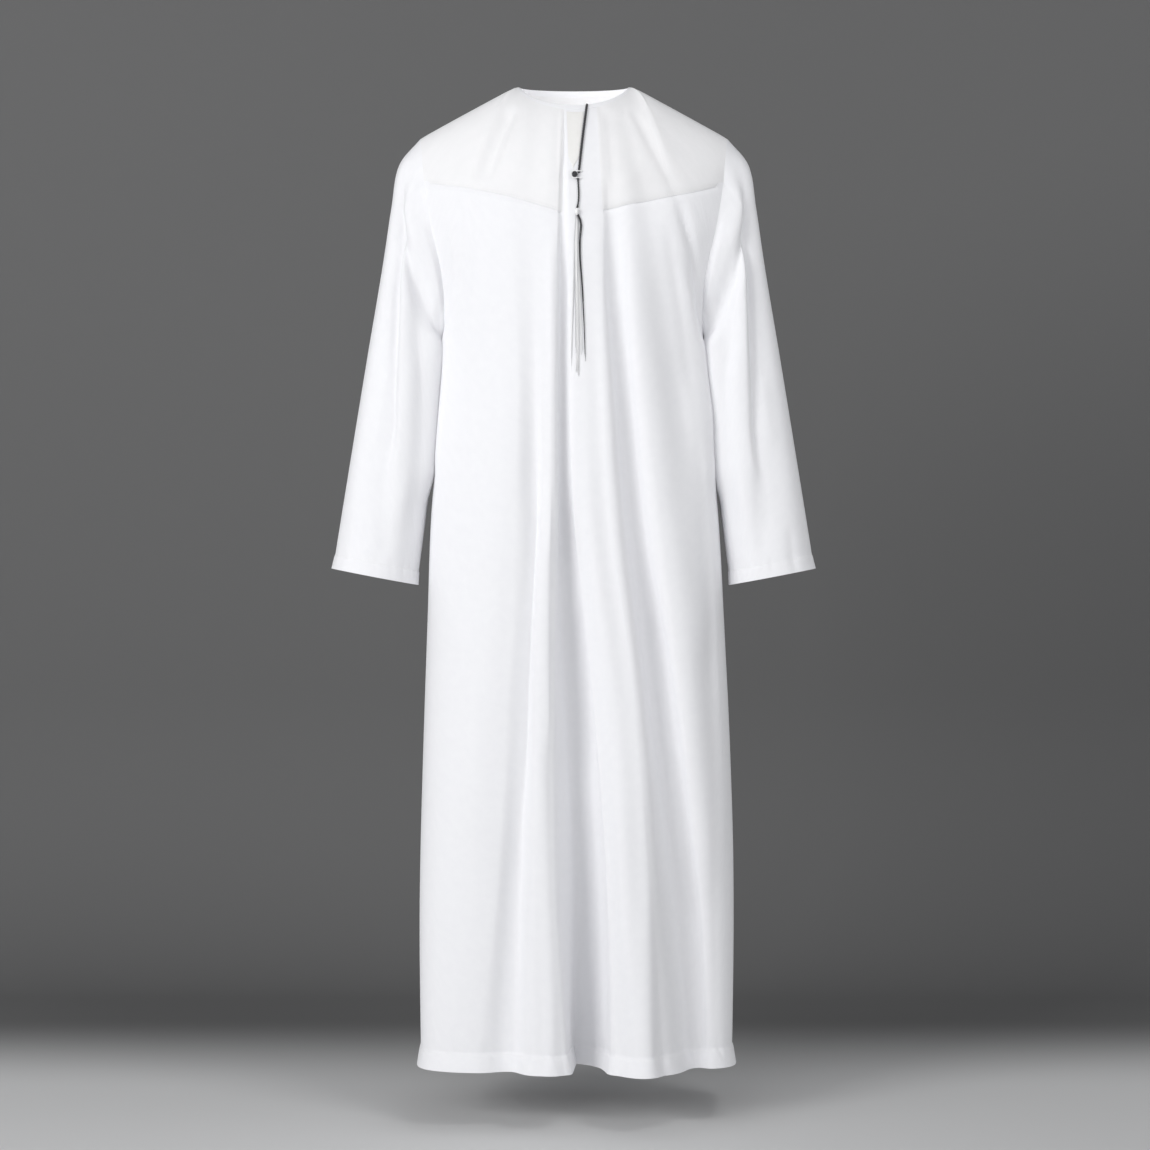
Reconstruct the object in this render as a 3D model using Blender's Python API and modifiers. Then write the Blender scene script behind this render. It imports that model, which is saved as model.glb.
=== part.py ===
"""An ankle-length white robe with long sleeves, a shoulder yoke, a pointed neck placket and a tassel.

It keeps the hollow form in which it is worn, with no wearer in it. Lengths are in metres, +Z is up and the
front faces -Y. The origin lies in the neck opening, at the height of the two neck points, where the shoulders
of a wearer carry the robe.
"""

import math

import bmesh
import bpy
import numpy as np
from mathutils import Matrix, Vector
from mathutils.bvhtree import BVHTree

MM = 0.001

# Driving sizes of the cut.
LENGTH = 1.42
NECK_HALF_WIDTH = 0.080
NECK_FRONT_DEPTH = 0.068
NECK_BACK_DEPTH = 0.056
NECK_FRONT_DROP = 0.039
NECK_BACK_RISE = 0.005
SHOULDER_HALF_WIDTH = 0.226
SHOULDER_DROP = 0.076
YOKE_DROP_CENTRE = 0.2045
YOKE_DROP_ARMHOLE = 0.148
YOKE_SWEEP = 1.3
BACK_YOKE_DROP_CENTRE = 0.185
ARMPIT_DROP = 0.400
HEM_BAND = 0.026
CUFF_BAND = 0.022

# Cloth and seams.
CLOTH = 1.2 * MM
YOKE_CLOTH = 1.6 * MM
TURNED_HEM = 0.7 * MM
STRIP_CLOTH = 1.0 * MM
SEAM_GAP = 0.3 * MM
WELD = 0.01 * MM

# How finely the cloth is divided.
YOKE_SHARES = (0, 0.045, 0.22, 0.42, 0.62, 0.82, 1)
YOKE_ROWS = len(YOKE_SHARES) - 1
ARMHOLE_ROWS = 6
SKIRT_ROWS = 18
SLEEVE_ROWS = 18
SHOULDER_COLUMNS = 4
CREASE_COLUMNS = 2

# The edges of a grid of cloth, each with the row or column next to it.
EDGES = {
    "top": (np.s_[0], np.s_[1]),
    "bottom": (np.s_[-1], np.s_[-2]),
    "first": (np.s_[:, 0], np.s_[:, 1]),
    "last": (np.s_[:, -1], np.s_[:, -2]),
}

# Sections of the body, from the yoke to the hem. Squareness 2 is an ellipse and 4 is nearly a rounded box.
BODY_SECTIONS = (
    # drop, half width, front depth, back depth, squareness
    (0.140, 0.2400, 0.104, 0.104, 2.20),
    (0.210, 0.2325, 0.120, 0.112, 2.30),
    (0.280, 0.2060, 0.126, 0.116, 2.40),
    (0.400, 0.1910, 0.127, 0.118, 2.60),
    (0.510, 0.1985, 0.126, 0.118, 2.80),
    (0.610, 0.2080, 0.125, 0.119, 3.00),
    (0.780, 0.2160, 0.123, 0.121, 3.30),
    (0.970, 0.2235, 0.121, 0.122, 3.70),
    (1.190, 0.2283, 0.119, 0.122, 4.40),
    (1.420, 0.2255, 0.118, 0.122, 5.50),
)

# How far the body hangs to the side of its middle, and the sleeves with the shoulders.
BODY_SWAY = (
    # drop, sideways
    (0.000, -0.0015),
    (0.400, -0.0020),
    (0.620, -0.0005),
    (0.900, 0.0020),
    (1.420, 0.0025),
)
SLEEVE_SWAY = -0.0020

# The armhole seam, seen from the front and from the back.
ARMHOLE = (
    # drop, front half width, back half width
    (0.148, 0.2165, 0.2220),
    (0.210, 0.2063, 0.2150),
    (0.280, 0.1905, 0.2000),
    (0.340, 0.1868, 0.1915),
    (0.400, 0.1910, 0.1910),
)

# The drops at which the creases of the body are given, below the neckline.
CREASE_DROPS = (0.200, 0.440, 0.640, 0.900, 1.180, 1.420)

# Creases of the front, left to right, as x in millimetres on the neckline and then at each crease drop.
FRONT_CREASES = (
    # name, neckline, yoke, rib, waist, thigh, calf, hem
    ("left_break", -80, -149, -178, -196, -202, -206, -203),
    ("left_ridge", -60, -98, -93, -105, -122, -142, -150),
    ("side_trough", -42, -62, -62, -59, -75, -86, -105),
    ("inner_ridge", -28, -37, -42, -44, -52, -57, -52),
    ("fold_lip", -19, -23, -28, -30, -36, -32, -14),
    ("main_fold", -14, -16, -18, -19, -11, 1, -4),
    ("placket_left", -11, -5, -8, -1, 23, 44, 57),
    ("slit_line", 18, 0, 18, 25, 57, 74, 96),
    ("yoke_corner", 32, 41, 40, 51, 85, 108, 125),
    ("right_fold", 37, 47, 58, 76, 115, 147, 172),
    ("right_ridge", 50, 72, 93, 119, 150, 180, 194),
    ("armpit_fold", 66, 108, 147, 178, 192, 200, 203),
    ("right_break", 80, 144, 174, 196, 207, 213, 211),
)

# How far each crease stands out of the section, in millimetres, at the collarbone and at each crease drop.
FRONT_STANDS = (
    # collarbone, yoke, rib, waist, thigh, calf, hem
    (-5, -1, 2, 1, 0, 0, 0),
    (2, 1, 3, 4, 4, 3, 0),
    (0, 0, -2, -4, -6, -6, -3),
    (1, 1, 2, 4, 8, 13, 19),
    (0, 1, 2, 3, 5, 10, 15),
    (-3, -4, -9, -18, -33, -50, -64),
    (0, 0, 0, 0, 2, 8, 17),
    (0, 0, 3, 6, 12, 22, 34),
    (0, 0, 0, 1, 4, 14, 25),
    (-1, -3, -9, -15, -20, -16, -4),
    (1, 1, 3, 3, 4, 3, 0),
    (-2, -3, -6, -6, -3, 0, 0),
    (-4, 0, 3, 1, 0, 0, 0),
)

# Creases of the back, right to left.
BACK_CREASES = (
    # name, neckline, yoke, rib, waist, thigh, calf, hem
    ("right_turn", 80, 150, 174, 190, 198, 204, 202),
    ("right_swell", 60, 112, 128, 138, 150, 158, 160),
    ("right_hollow", 44, 78, 92, 98, 106, 116, 122),
    ("right_rise", 26, 44, 55, 60, 66, 74, 84),
    ("middle_hollow", 4, 8, 12, 16, 20, 22, 30),
    ("left_rise", -22, -34, -34, -30, -30, -34, -28),
    ("left_hollow", -42, -70, -72, -74, -76, -84, -80),
    ("left_swell", -60, -108, -118, -128, -136, -140, -136),
    ("left_turn", -80, -150, -172, -190, -198, -206, -204),
)

BACK_STANDS = (
    # collarbone, yoke, rib, waist, thigh, calf, hem
    (-3, 0, 1, 0, 0, 0, 0),
    (1, 1, 3, 4, 5, 7, 9),
    (0, -2, -6, -11, -18, -26, -33),
    (1, 1, 3, 5, 9, 14, 20),
    (0, -2, -5, -8, -12, -18, -24),
    (1, 1, 3, 5, 8, 12, 16),
    (0, -2, -5, -10, -15, -22, -30),
    (1, 1, 2, 4, 6, 9, 12),
    (-3, 0, 1, 0, 0, 0, 0),
)

# Sections of a sleeve: its outer and its inner point, half its depth, and how far forward its middle lies.
SLEEVE_SECTIONS = (
    # along, outer x, outer drop, inner x, inner drop, half depth, forward
    (0.00, 0.2260, 0.0760, 0.1910, 0.4000, 0.0660, 0.000),
    (0.10, 0.2565, 0.1150, 0.1935, 0.4120, 0.0690, 0.000),
    (0.20, 0.2665, 0.1750, 0.1950, 0.4320, 0.0700, 0.001),
    (0.32, 0.2770, 0.2500, 0.1975, 0.4620, 0.0690, 0.004),
    (0.52, 0.3000, 0.3900, 0.2036, 0.5300, 0.0640, 0.011),
    (0.74, 0.3232, 0.5350, 0.2135, 0.6150, 0.0580, 0.019),
    (1.00, 0.3500, 0.7050, 0.2280, 0.7285, 0.0530, 0.028),
)

# Creases of a sleeve, as angles round it in degrees: 0 outside, 90 in front, 180 inside and 270 behind.
SLEEVE_CREASES = (
    # name, angles at the cap, the elbow and the cuff, stands in millimetres at the same places
    ("outer_edge", 0, 0, 0, 0, 0, 0),
    ("outer_roll", 22, 30, 38, 2, 2, 1),
    ("long_trough", 40, 66, 92, -7, -7, -3),
    ("front_ridge", 62, 92, 118, 3, 3, 1),
    ("armpit_trough", 96, 124, 142, -9, -4, -1),
    ("inner_roll", 132, 148, 160, 1, 1, 0),
    ("inner_edge", 180, 180, 180, 0, 0, 0),
    ("back_roll", 214, 210, 204, 0, 1, 0),
    ("back_trough", 240, 236, 232, -7, -6, -2),
    ("back_ridge", 266, 264, 262, 3, 3, 1),
    ("elbow_trough", 296, 290, 286, -5, -7, -2),
    ("outer_back_roll", 328, 322, 318, 2, 2, 1),
    ("outer_edge_again", 360, 360, 360, 0, 0, 0),
)

# Slit, binding and placket.
SLIT_WIDTH = 1.0 * MM
SLIT_ROWS = 4
BINDING_LIFT = 0.5 * MM
PIPING_RADIUS = 1.3 * MM
PIPING_SHIFT = 0.7 * MM

# The button knot on the placket's point, its loop, and the tassel that hangs from it.
BUTTON_RADIUS = 3.5 * MM
BUTTON_FLATNESS = 0.62
BUTTON_X = 1.0 * MM
BUTTON_DROP = 0.1425
LOOP_RADIUS = 0.7 * MM
LOOP_END_X = 10.0 * MM
TASSEL_CORD_RADIUS = 1.1 * MM
TASSEL_CORD = (
    # x, drop
    (0.0040, 0.1496),
    (0.0046, 0.1600),
    (0.0052, 0.1720),
    (0.0048, 0.1840),
    (0.0032, 0.1935),
)
HEAD_X = 2.6 * MM
HEAD_TOP_DROP = 0.1950
HEAD_RADIUS = 2.8 * MM
HEAD_LENGTH = 9.0 * MM
STRANDS = 10
STRAND_INSET = 0.28 * MM
STRAND_STEPS = 9
STRAND_END_DROP = 0.435
STRAND_DRIFT = 2.5 * MM
STRAND_SPREAD = 4.5


def through(knots, values, at):
    """A smooth curve through the values at the knots, read at the places in at. Ends are held level."""
    knots = np.asarray(knots, float)
    values = np.asarray(values, float)
    slopes = np.gradient(values, knots)
    at = np.clip(np.asarray(at, float), knots[0], knots[-1])
    left = np.clip(np.searchsorted(knots, at, side="right") - 1, 0, len(knots) - 2)
    span = knots[left + 1] - knots[left]
    w = (at - knots[left]) / span
    rise = (3 - 2 * w) * w * w
    return (
        values[left] * (1 - rise)
        + values[left + 1] * rise
        + slopes[left] * span * w * (1 - w) ** 2
        - slopes[left + 1] * span * w * w * (1 - w)
    )


def eased(share):
    """A share from 0 to 1 that starts and ends level."""
    return (1 - np.cos(np.pi * share)) / 2


def body_section(drop):
    """Half width, front depth, back depth and squareness of the body at a drop."""
    drops, *columns = zip(*BODY_SECTIONS)
    return [through(drops, column, drop) for column in columns]


def swayed(grid):
    """A grid of the body with each point moved sideways by the sway at its drop."""
    drops, sideways = zip(*BODY_SWAY)
    grid = np.array(grid)
    grid[..., 0] += through(drops, sideways, -grid[..., 2])
    return grid


def side_width(drop, behind):
    """Half width at which a panel ends: on the armhole seam, and below it on the side seam."""
    drops, front, back = zip(*ARMHOLE)
    seam = through(drops, back if behind else front, drop)
    return np.where(np.asarray(drop) < ARMPIT_DROP, seam, body_section(drop)[0])


def section_angle(x, half_width, squareness):
    """The angle on a body section at which it has the width x: pi on the left and 0 on the right."""
    share = np.clip(x / half_width, -1, 1)
    return np.arctan2((1 - np.abs(share) ** squareness) ** (1 / squareness), share)


def section_point(angle, drop, behind):
    """The point of the body's section at an angle and a drop."""
    half_width, front, back, squareness = body_section(drop)
    across, along = np.cos(angle), np.sin(angle)
    reach = (np.abs(across) ** squareness + np.abs(along) ** squareness) ** (1 / squareness)
    depth = back if behind else -front
    return np.stack([half_width * across / reach, depth * along / reach, -drop], axis=-1)


def column_places(creases):
    """For each column of a panel: the crease to its left and the share of the way to the next one."""
    counts = [SHOULDER_COLUMNS] + [CREASE_COLUMNS] * (creases - 1) + [SHOULDER_COLUMNS]
    places = [(i, step / count) for i, count in enumerate(counts) for step in range(count)]
    return places + [(creases, 1.0)]


def crease_column(name, table):
    """The number of the column that lies on a named crease."""
    order = [row[0] for row in table].index(name)
    return SHOULDER_COLUMNS + CREASE_COLUMNS * order


def neck_point(x, behind):
    """The point of the neckline at x."""
    round_share = np.sqrt(np.clip(1 - (x / NECK_HALF_WIDTH) ** 2, 0, 1))
    if behind:
        return np.array([x, NECK_BACK_DEPTH * round_share, NECK_BACK_RISE * round_share])
    return np.array([x, -NECK_FRONT_DEPTH * round_share, -NECK_FRONT_DROP * round_share**1.3])


def shoulder_point(share, side):
    """The point of the shoulder line a share of the way from the sleeve to the neck.

    Shares from 0.75 to 1 lie under the binding, so the points are closer together there.
    """
    share = np.interp(share, [0, 0.75, 1], [0, 1 - YOKE_SHARES[1], 1])
    x = SHOULDER_HALF_WIDTH + (NECK_HALF_WIDTH - SHOULDER_HALF_WIDTH) * share
    return np.array([side * x, 0.0, -SHOULDER_DROP * (1 - share)])


def top_edge(creases, behind, places):
    """The top edge of a panel: shoulder line, neckline and shoulder line."""
    first_side = 1 if behind else -1
    necks = [row[1] * MM for row in creases]
    points = []
    for crease, share in places:
        if crease == 0:
            points.append(shoulder_point(share, first_side))
        elif crease == len(creases):
            points.append(shoulder_point(1 - share, -first_side))
        else:
            x = necks[crease - 1] + (necks[crease] - necks[crease - 1]) * share
            points.append(neck_point(x, behind))
    return np.array(points)


def yoke_drops(x, behind):
    """How far the yoke's lower edge lies below the neck points, at x."""
    centre = BACK_YOKE_DROP_CENTRE if behind else YOKE_DROP_CENTRE
    inwards = 1 - np.abs(x) / side_width(YOKE_DROP_ARMHOLE, behind)
    return YOKE_DROP_ARMHOLE + (centre - YOKE_DROP_ARMHOLE) * np.clip(inwards, 0, 1) ** YOKE_SWEEP


def row_drops(yoke_edge):
    """Drops of all rows below the yoke, for each column."""
    armhole = [yoke_edge + (ARMPIT_DROP - yoke_edge) * i / ARMHOLE_ROWS for i in range(ARMHOLE_ROWS + 1)]
    band_top = LENGTH - HEM_BAND
    skirt = [ARMPIT_DROP + (band_top - ARMPIT_DROP) * (i + 1) / SKIRT_ROWS for i in range(SKIRT_ROWS)]
    levels = skirt + [band_top + TURNED_HEM, LENGTH]
    return np.array(armhole + [np.full_like(yoke_edge, level) for level in levels])


def grid_normals(grid):
    """Unit normals of a grid of points, pointing out of the cloth."""
    down = np.gradient(grid, axis=0)
    across = np.gradient(grid, axis=1)
    normal = np.cross(down, across)
    return normal / np.maximum(np.linalg.norm(normal, axis=-1, keepdims=True), 1e-12)


def panel_grid(creases, stands, behind):
    """The outer face of the whole front or back, from the shoulder and neckline to the hem.

    Rows run down and columns run round the body, so that the cloth's face points out.
    """
    places = column_places(len(creases))
    first_side = 1 if behind else -1
    xs = np.array([row[2:] for row in creases], float) * MM
    end = side_width(YOKE_DROP_ARMHOLE, behind)
    at_yoke = np.concatenate([[first_side * end], xs[:, 0], [-first_side * end]])
    next_at_yoke = np.append(at_yoke[1:], at_yoke[-1])
    yoke_x = np.array([at_yoke[i] + (next_at_yoke[i] - at_yoke[i]) * w for i, w in places])
    drops = row_drops(yoke_drops(yoke_x, behind))

    lower = np.zeros(drops.shape + (3,))
    lower_stand = np.zeros(drops.shape)
    for column, (crease, share) in enumerate(places):
        drop = drops[:, column]
        half_width, _, _, squareness = body_section(drop)
        bounds = []
        for line in (crease - 1, crease):
            if 0 <= line < len(creases):
                x = through(CREASE_DROPS, xs[line], drop)
                stand = through(CREASE_DROPS, np.array(stands[line][1:]) * MM, drop)
            else:
                side = first_side if line < 0 else -first_side
                x = side * side_width(drop, behind)
                stand = np.zeros_like(drop)
            bounds.append((section_angle(x, half_width, squareness), stand))
        (angle_a, stand_a), (angle_b, stand_b) = bounds
        lower[:, column] = section_point(angle_a + (angle_b - angle_a) * share, drop, behind)
        lower_stand[:, column] = stand_a + (stand_b - stand_a) * eased(share)

    top = top_edge(creases, behind, places)
    deepest = np.abs(top[:, 1]).max()
    start = np.radians(52) * np.abs(top[:, 1]) / deepest
    upper, upper_stand = [], []
    collar = np.array([0.0] + [row[0] * MM for row in stands] + [0.0])
    next_collar = np.append(collar[1:], collar[-1])
    collar_stand = np.array([collar[i] + (next_collar[i] - collar[i]) * eased(w) for i, w in places])
    for share in YOKE_SHARES[:-1]:
        turn = start + (np.pi / 2 - start) * share
        out = (np.sin(turn) - np.sin(start)) / (1 - np.sin(start))
        down = (np.cos(start) - np.cos(turn)) / np.cos(start)
        shares = np.stack([np.full_like(out, share), out, down], axis=-1)
        upper.append(top + (lower[0] - top) * shares)
        middle = 4 * share * (1 - share)
        upper_stand.append(collar_stand * middle + lower_stand[0] * share**2)
    base = np.concatenate([np.array(upper), lower])
    stand = np.concatenate([np.array(upper_stand), lower_stand])
    return swayed(base + grid_normals(base) * stand[..., None])


def sleeve_grid(front_edge, back_edge, side):
    """The outer face of a sleeve, from the armhole seam to the cuff.

    Args: the armhole's points from the shoulder to the armpit, in front and behind, and -1 for left or 1 for
    right. Rows run down the sleeve, and columns run round it so that the cloth's face points out.
    """
    seam = np.concatenate([front_edge, back_edge[::-1][1:]])
    along_rows = np.linspace(0, 1, SLEEVE_ROWS + 1) ** 1.15
    alongs, *columns = zip(*SLEEVE_SECTIONS)
    length = SLEEVE_SECTIONS[-1][2] - SLEEVE_SECTIONS[0][2]
    band = 1 - CUFF_BAND / length
    along_rows = along_rows[along_rows < band - 0.02]
    along_rows = np.concatenate([along_rows, [band, band + TURNED_HEM / length, 1.0]])

    count = len(seam)
    half = count // 2
    knots = [0, 0.5, 1.0]
    lines = np.linspace(0, len(SLEEVE_CREASES) - 1, count)
    crease = np.minimum(lines.astype(int), len(SLEEVE_CREASES) - 2)
    share = lines - crease
    grid, stands = [], []
    first_oval = None
    for along in along_rows:
        outer_x, outer_drop, inner_x, inner_drop, half_depth, forward = (
            float(through(alongs, column, along)) for column in columns
        )
        outer = np.array([side * outer_x + SLEEVE_SWAY, -forward, -outer_drop])
        inner = np.array([side * inner_x + SLEEVE_SWAY, -forward, -inner_drop])
        angles = np.array([through(knots, row[1:4], along) for row in SLEEVE_CREASES])
        stand = np.array([through(knots, row[4:7], along) for row in SLEEVE_CREASES]) * MM
        by_crease = np.radians(angles[crease] + (angles[crease + 1] - angles[crease]) * share)
        if first_oval is None:
            middle = (outer[2] + inner[2]) / 2
            rise = np.clip((seam[:, 2] - middle) / (outer[2] - middle), -1, 1)
            seam_angle = np.arccos(rise)
            seam_angle[half + 1 :] = 2 * np.pi - seam_angle[half + 1 :]
        settle = float(eased(min(along / 0.45, 1)))
        angle = seam_angle + (by_crease - seam_angle) * settle
        oval = (
            (outer + inner) / 2
            + np.cos(angle)[:, None] * (outer - inner) / 2
            + np.sin(angle)[:, None] * np.array([0, -half_depth, 0])
        )
        if first_oval is None:
            first_oval = oval
        fade = float(1 - eased(min(along / 0.40, 1)))
        grid.append(oval + (seam - first_oval) * fade)
        rise_in = float(eased(min(along / 0.15, 1)))
        fade_out = 1 - 0.8 * float(eased(max(0, (along - 0.8) / 0.2)))
        across = stand[crease] + (stand[crease + 1] - stand[crease]) * eased(share)
        stands.append(across * rise_in * fade_out)
    grid = np.array(grid)
    stands = np.array(stands)
    if side > 0:
        grid, stands = grid[:, ::-1], stands[:, ::-1]
    return grid + grid_normals(grid) * stands[..., None]


def unit(vectors):
    """Vectors of length one."""
    return vectors / np.maximum(np.linalg.norm(vectors, axis=-1, keepdims=True), 1e-12)


def drawn_in(grid, edge, beyond, wall=CLOTH):
    """A copy of the grid with one edge drawn back from the piece that is sewn to it there.

    Args: the edge by name, the other piece's points next to the seam, and the thicker of the two walls. Where
    the seam is a ridge the walls lean together under it, so there each is drawn back by that much more.
    """
    grid = np.array(grid)
    line, neighbour = EDGES[edge]
    own = unit(grid[neighbour] - grid[line])
    other = unit(beyond - grid[line])
    ridge = np.sum((own + other) * grid_normals(grid)[line], axis=-1) < 0
    bend = np.arccos(np.clip(-np.sum(own * other, axis=-1), -1, 1))
    pull = SEAM_GAP / 2 + np.where(ridge, wall * np.tan(np.minimum(bend, 1.2) / 2), 0)
    grid[line] += own * pull[:, None]
    return grid


def material(name, colour, roughness):
    """A Principled material with one colour."""
    made = bpy.data.materials.new(name)
    made.use_nodes = True
    shader = made.node_tree.nodes["Principled BSDF"]
    shader.inputs["Base Color"].default_value = (*colour, 1.0)
    shader.inputs["Roughness"].default_value = roughness
    made.diffuse_color = (*colour, 1.0)
    return made


def surface_object(name, grids, collection, finish, band_rows=0):
    """An object with the faces of one or more grids, welded where they meet.

    The last rows of the last grid, as many as band_rows, take the full wall, and all else takes the share of
    it that plain cloth has.
    """
    work = bmesh.new()
    shares = work.verts.layers.deform.verify()
    for number, grid in enumerate(grids):
        rows, columns = grid.shape[:2]
        verts = [[work.verts.new(grid[r, c]) for c in range(columns)] for r in range(rows)]
        for r, line in enumerate(verts):
            on_band = number == len(grids) - 1 and r >= rows - band_rows
            for vertex in line:
                vertex[shares][0] = 1.0 if on_band else CLOTH / (CLOTH + TURNED_HEM)
        for r in range(rows - 1):
            for c in range(columns - 1):
                work.faces.new((verts[r][c], verts[r + 1][c], verts[r + 1][c + 1], verts[r][c + 1]))
    bmesh.ops.remove_doubles(work, verts=work.verts, dist=WELD)
    bmesh.ops.dissolve_degenerate(work, edges=work.edges, dist=WELD)
    mesh = bpy.data.meshes.new(name)
    work.to_mesh(mesh)
    work.free()
    mesh.materials.append(finish)
    made = bpy.data.objects.new(name, mesh)
    made.vertex_groups.new(name="wall_share")
    collection.objects.link(made)
    return made


def thicken(made, thickness, outwards=False, shares=False):
    """Gives an open surface its wall, inwards or outwards, and scaled by wall_share if shares is set."""
    wall = made.modifiers.new("wall", "SOLIDIFY")
    wall.thickness = thickness
    wall.offset = 1.0 if outwards else -1.0
    wall.use_even_offset = True
    wall.use_quality_normals = True
    if shares:
        wall.vertex_group = "wall_share"


def raise_band(grid, rows):
    """A copy of the grid with its last rows moved out by a turned hem's thickness."""
    grid = np.array(grid)
    grid[-rows:] += grid_normals(grid)[-rows:] * TURNED_HEM
    return grid


def front_columns():
    """Columns of the front's tongue: its left edge, the slit and its right edge."""
    return [crease_column(name, FRONT_CREASES) for name in ("main_fold", "slit_line", "yoke_corner")]


def build_front(front, beyond_left, beyond_right, collection, finish):
    """The front: one panel below the yoke, with a tongue up to the neckline between the yoke's two ends.

    The slit parts the tongue's upper rows.
    """
    first, slit, last = front_columns()
    lower = drawn_in(front[YOKE_ROWS:], "top", front[YOKE_ROWS - 1], YOKE_CLOTH)
    lower = drawn_in(lower, "first", beyond_left[YOKE_ROWS:])
    lower = drawn_in(lower, "last", beyond_right[YOKE_ROWS:])
    lower[0, first : last + 1] = front[YOKE_ROWS, first : last + 1]
    above = front[: YOKE_ROWS + 1]
    tongue = drawn_in(above[:, first : last + 1], "first", above[:, first - 1], YOKE_CLOTH)
    tongue = drawn_in(tongue, "last", above[:, last + 1], YOKE_CLOTH)
    lower[0, first] = tongue[-1, 0]
    lower[0, last] = tongue[-1, -1]
    left = tongue[:, : slit - first + 1].copy()
    right = tongue[:, slit - first :].copy()
    for lip, inner in ((left[:, -1], left[:, -2]), (right[:, 0], right[:, 1])):
        lip[:SLIT_ROWS] += unit(inner - lip)[:SLIT_ROWS] * SLIT_WIDTH / 2
    made = surface_object("front", [left, right, raise_band(lower, 2)], collection, finish, band_rows=2)
    thicken(made, CLOTH + TURNED_HEM, shares=True)
    return made


def build_back(back, beyond_right, beyond_left, collection, finish):
    """The back panel, from the yoke to the hem."""
    lower = drawn_in(back[YOKE_ROWS:], "top", back[YOKE_ROWS - 1], YOKE_CLOTH)
    lower = drawn_in(lower, "first", beyond_right[YOKE_ROWS:])
    lower = drawn_in(lower, "last", beyond_left[YOKE_ROWS:])
    made = surface_object("back", [raise_band(lower, 2)], collection, finish, band_rows=2)
    thicken(made, CLOTH + TURNED_HEM, shares=True)
    return made


def build_yoke(front, back, beyond, collection, finish):
    """The yoke: one piece over both shoulders and round the back of the neck, open at the front.

    Args: the grids, and the sleeves' points next to the armholes, as left front, right front, right back and
    left back.
    """
    first, _, last = front_columns()
    rows = np.s_[: YOKE_ROWS + 1]
    left_front, right_front, right_back, left_back = (points[rows] for points in beyond)
    left = drawn_in(front[rows, : first + 1], "bottom", front[YOKE_ROWS + 1, : first + 1], YOKE_CLOTH)
    left = drawn_in(left, "first", left_front, YOKE_CLOTH)
    left = drawn_in(left, "last", front[rows, first + 1], YOKE_CLOTH)
    right = drawn_in(front[rows, last:], "bottom", front[YOKE_ROWS + 1, last:], YOKE_CLOTH)
    right = drawn_in(right, "first", front[rows, last - 1], YOKE_CLOTH)
    right = drawn_in(right, "last", right_front, YOKE_CLOTH)
    behind = drawn_in(back[rows], "bottom", back[YOKE_ROWS + 1], YOKE_CLOTH)
    behind = drawn_in(behind, "first", right_back, YOKE_CLOTH)
    behind = drawn_in(behind, "last", left_back, YOKE_CLOTH)
    behind[0, 0] = right[0, -1]
    behind[0, -1] = left[0, 0]
    made = surface_object("yoke", [left, right, behind], collection, finish)
    thicken(made, YOKE_CLOTH)
    return made


def build_sleeve(name, grid, beyond, collection, finish):
    """A sleeve, with its turned hem at the cuff."""
    grid = raise_band(drawn_in(grid, "top", beyond, YOKE_CLOTH), 2)
    grid[:, -1] = grid[:, 0]
    made = surface_object(name, [grid], collection, finish, band_rows=2)
    thicken(made, CLOTH + TURNED_HEM, shares=True)
    return made


def build_binding(front, back, collection, finish):
    """The narrow binding round the neckline. It lies on the yoke and the front, and is open at the slit."""
    _, slit, _ = front_columns()
    front_first = crease_column("left_break", FRONT_CREASES) - 1
    front_last = crease_column("right_break", FRONT_CREASES) + 1
    back_first = crease_column("right_turn", BACK_CREASES) - 1
    back_last = crease_column("left_turn", BACK_CREASES) + 1
    lifted_front = front[:2] + grid_normals(front)[:2] * BINDING_LIFT
    lifted_back = back[:2] + grid_normals(back)[:2] * BINDING_LIFT
    left = lifted_front[:, front_first : slit + 1].copy()
    right = lifted_front[:, slit : front_last + 1].copy()
    behind = lifted_back[:, back_first : back_last + 1].copy()
    left[:, -1] += unit(left[:, -2] - left[:, -1]) * SLIT_WIDTH
    right[:, 0] += unit(right[:, 1] - right[:, 0]) * SLIT_WIDTH
    ends = ((right[0, -2:][::-1], behind[0, :2]), (left[0, :2], behind[0, -2:][::-1]))
    for front_edge, back_edge in ends:
        shared = (front_edge + back_edge) / 2
        front_edge[:] = shared
        back_edge[:] = shared
    made = surface_object("neck_binding", [left, right, behind], collection, finish)
    thicken(made, STRIP_CLOTH, outwards=True)
    return made


def build_placket(front, collection, finish):
    """The pointed placket, which lies on the front beside the slit, from the binding to the button."""
    first = crease_column("placket_left", FRONT_CREASES)
    _, slit, _ = front_columns()
    normals = grid_normals(front)[: SLIT_ROWS + 1, first : slit + 1]
    band = (front[: SLIT_ROWS + 1, first : slit + 1] + normals * SEAM_GAP)[1:]
    band[0] += unit(band[1] - band[0]) * SEAM_GAP * 2
    band[:, -1] += unit(band[:, -2] - band[:, -1]) * SLIT_WIDTH
    band[-1, 0] = band[-1, -1] = band[-1, 1]
    made = surface_object("placket", [band], collection, finish)
    thicken(made, STRIP_CLOTH, outwards=True)
    return made


def tube(name, points, radius, collection, finish):
    """A round cord along points, with filled ends."""
    curve = bpy.data.curves.new(name, "CURVE")
    curve.dimensions = "3D"
    curve.bevel_depth = radius
    curve.bevel_resolution = 2
    curve.use_fill_caps = True
    spline = curve.splines.new("POLY")
    spline.points.add(len(points) - 1)
    for place, point in zip(spline.points, points):
        place.co = (*point, 1.0)
    curve.materials.append(finish)
    made = bpy.data.objects.new(name, curve)
    collection.objects.link(made)
    return made


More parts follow.
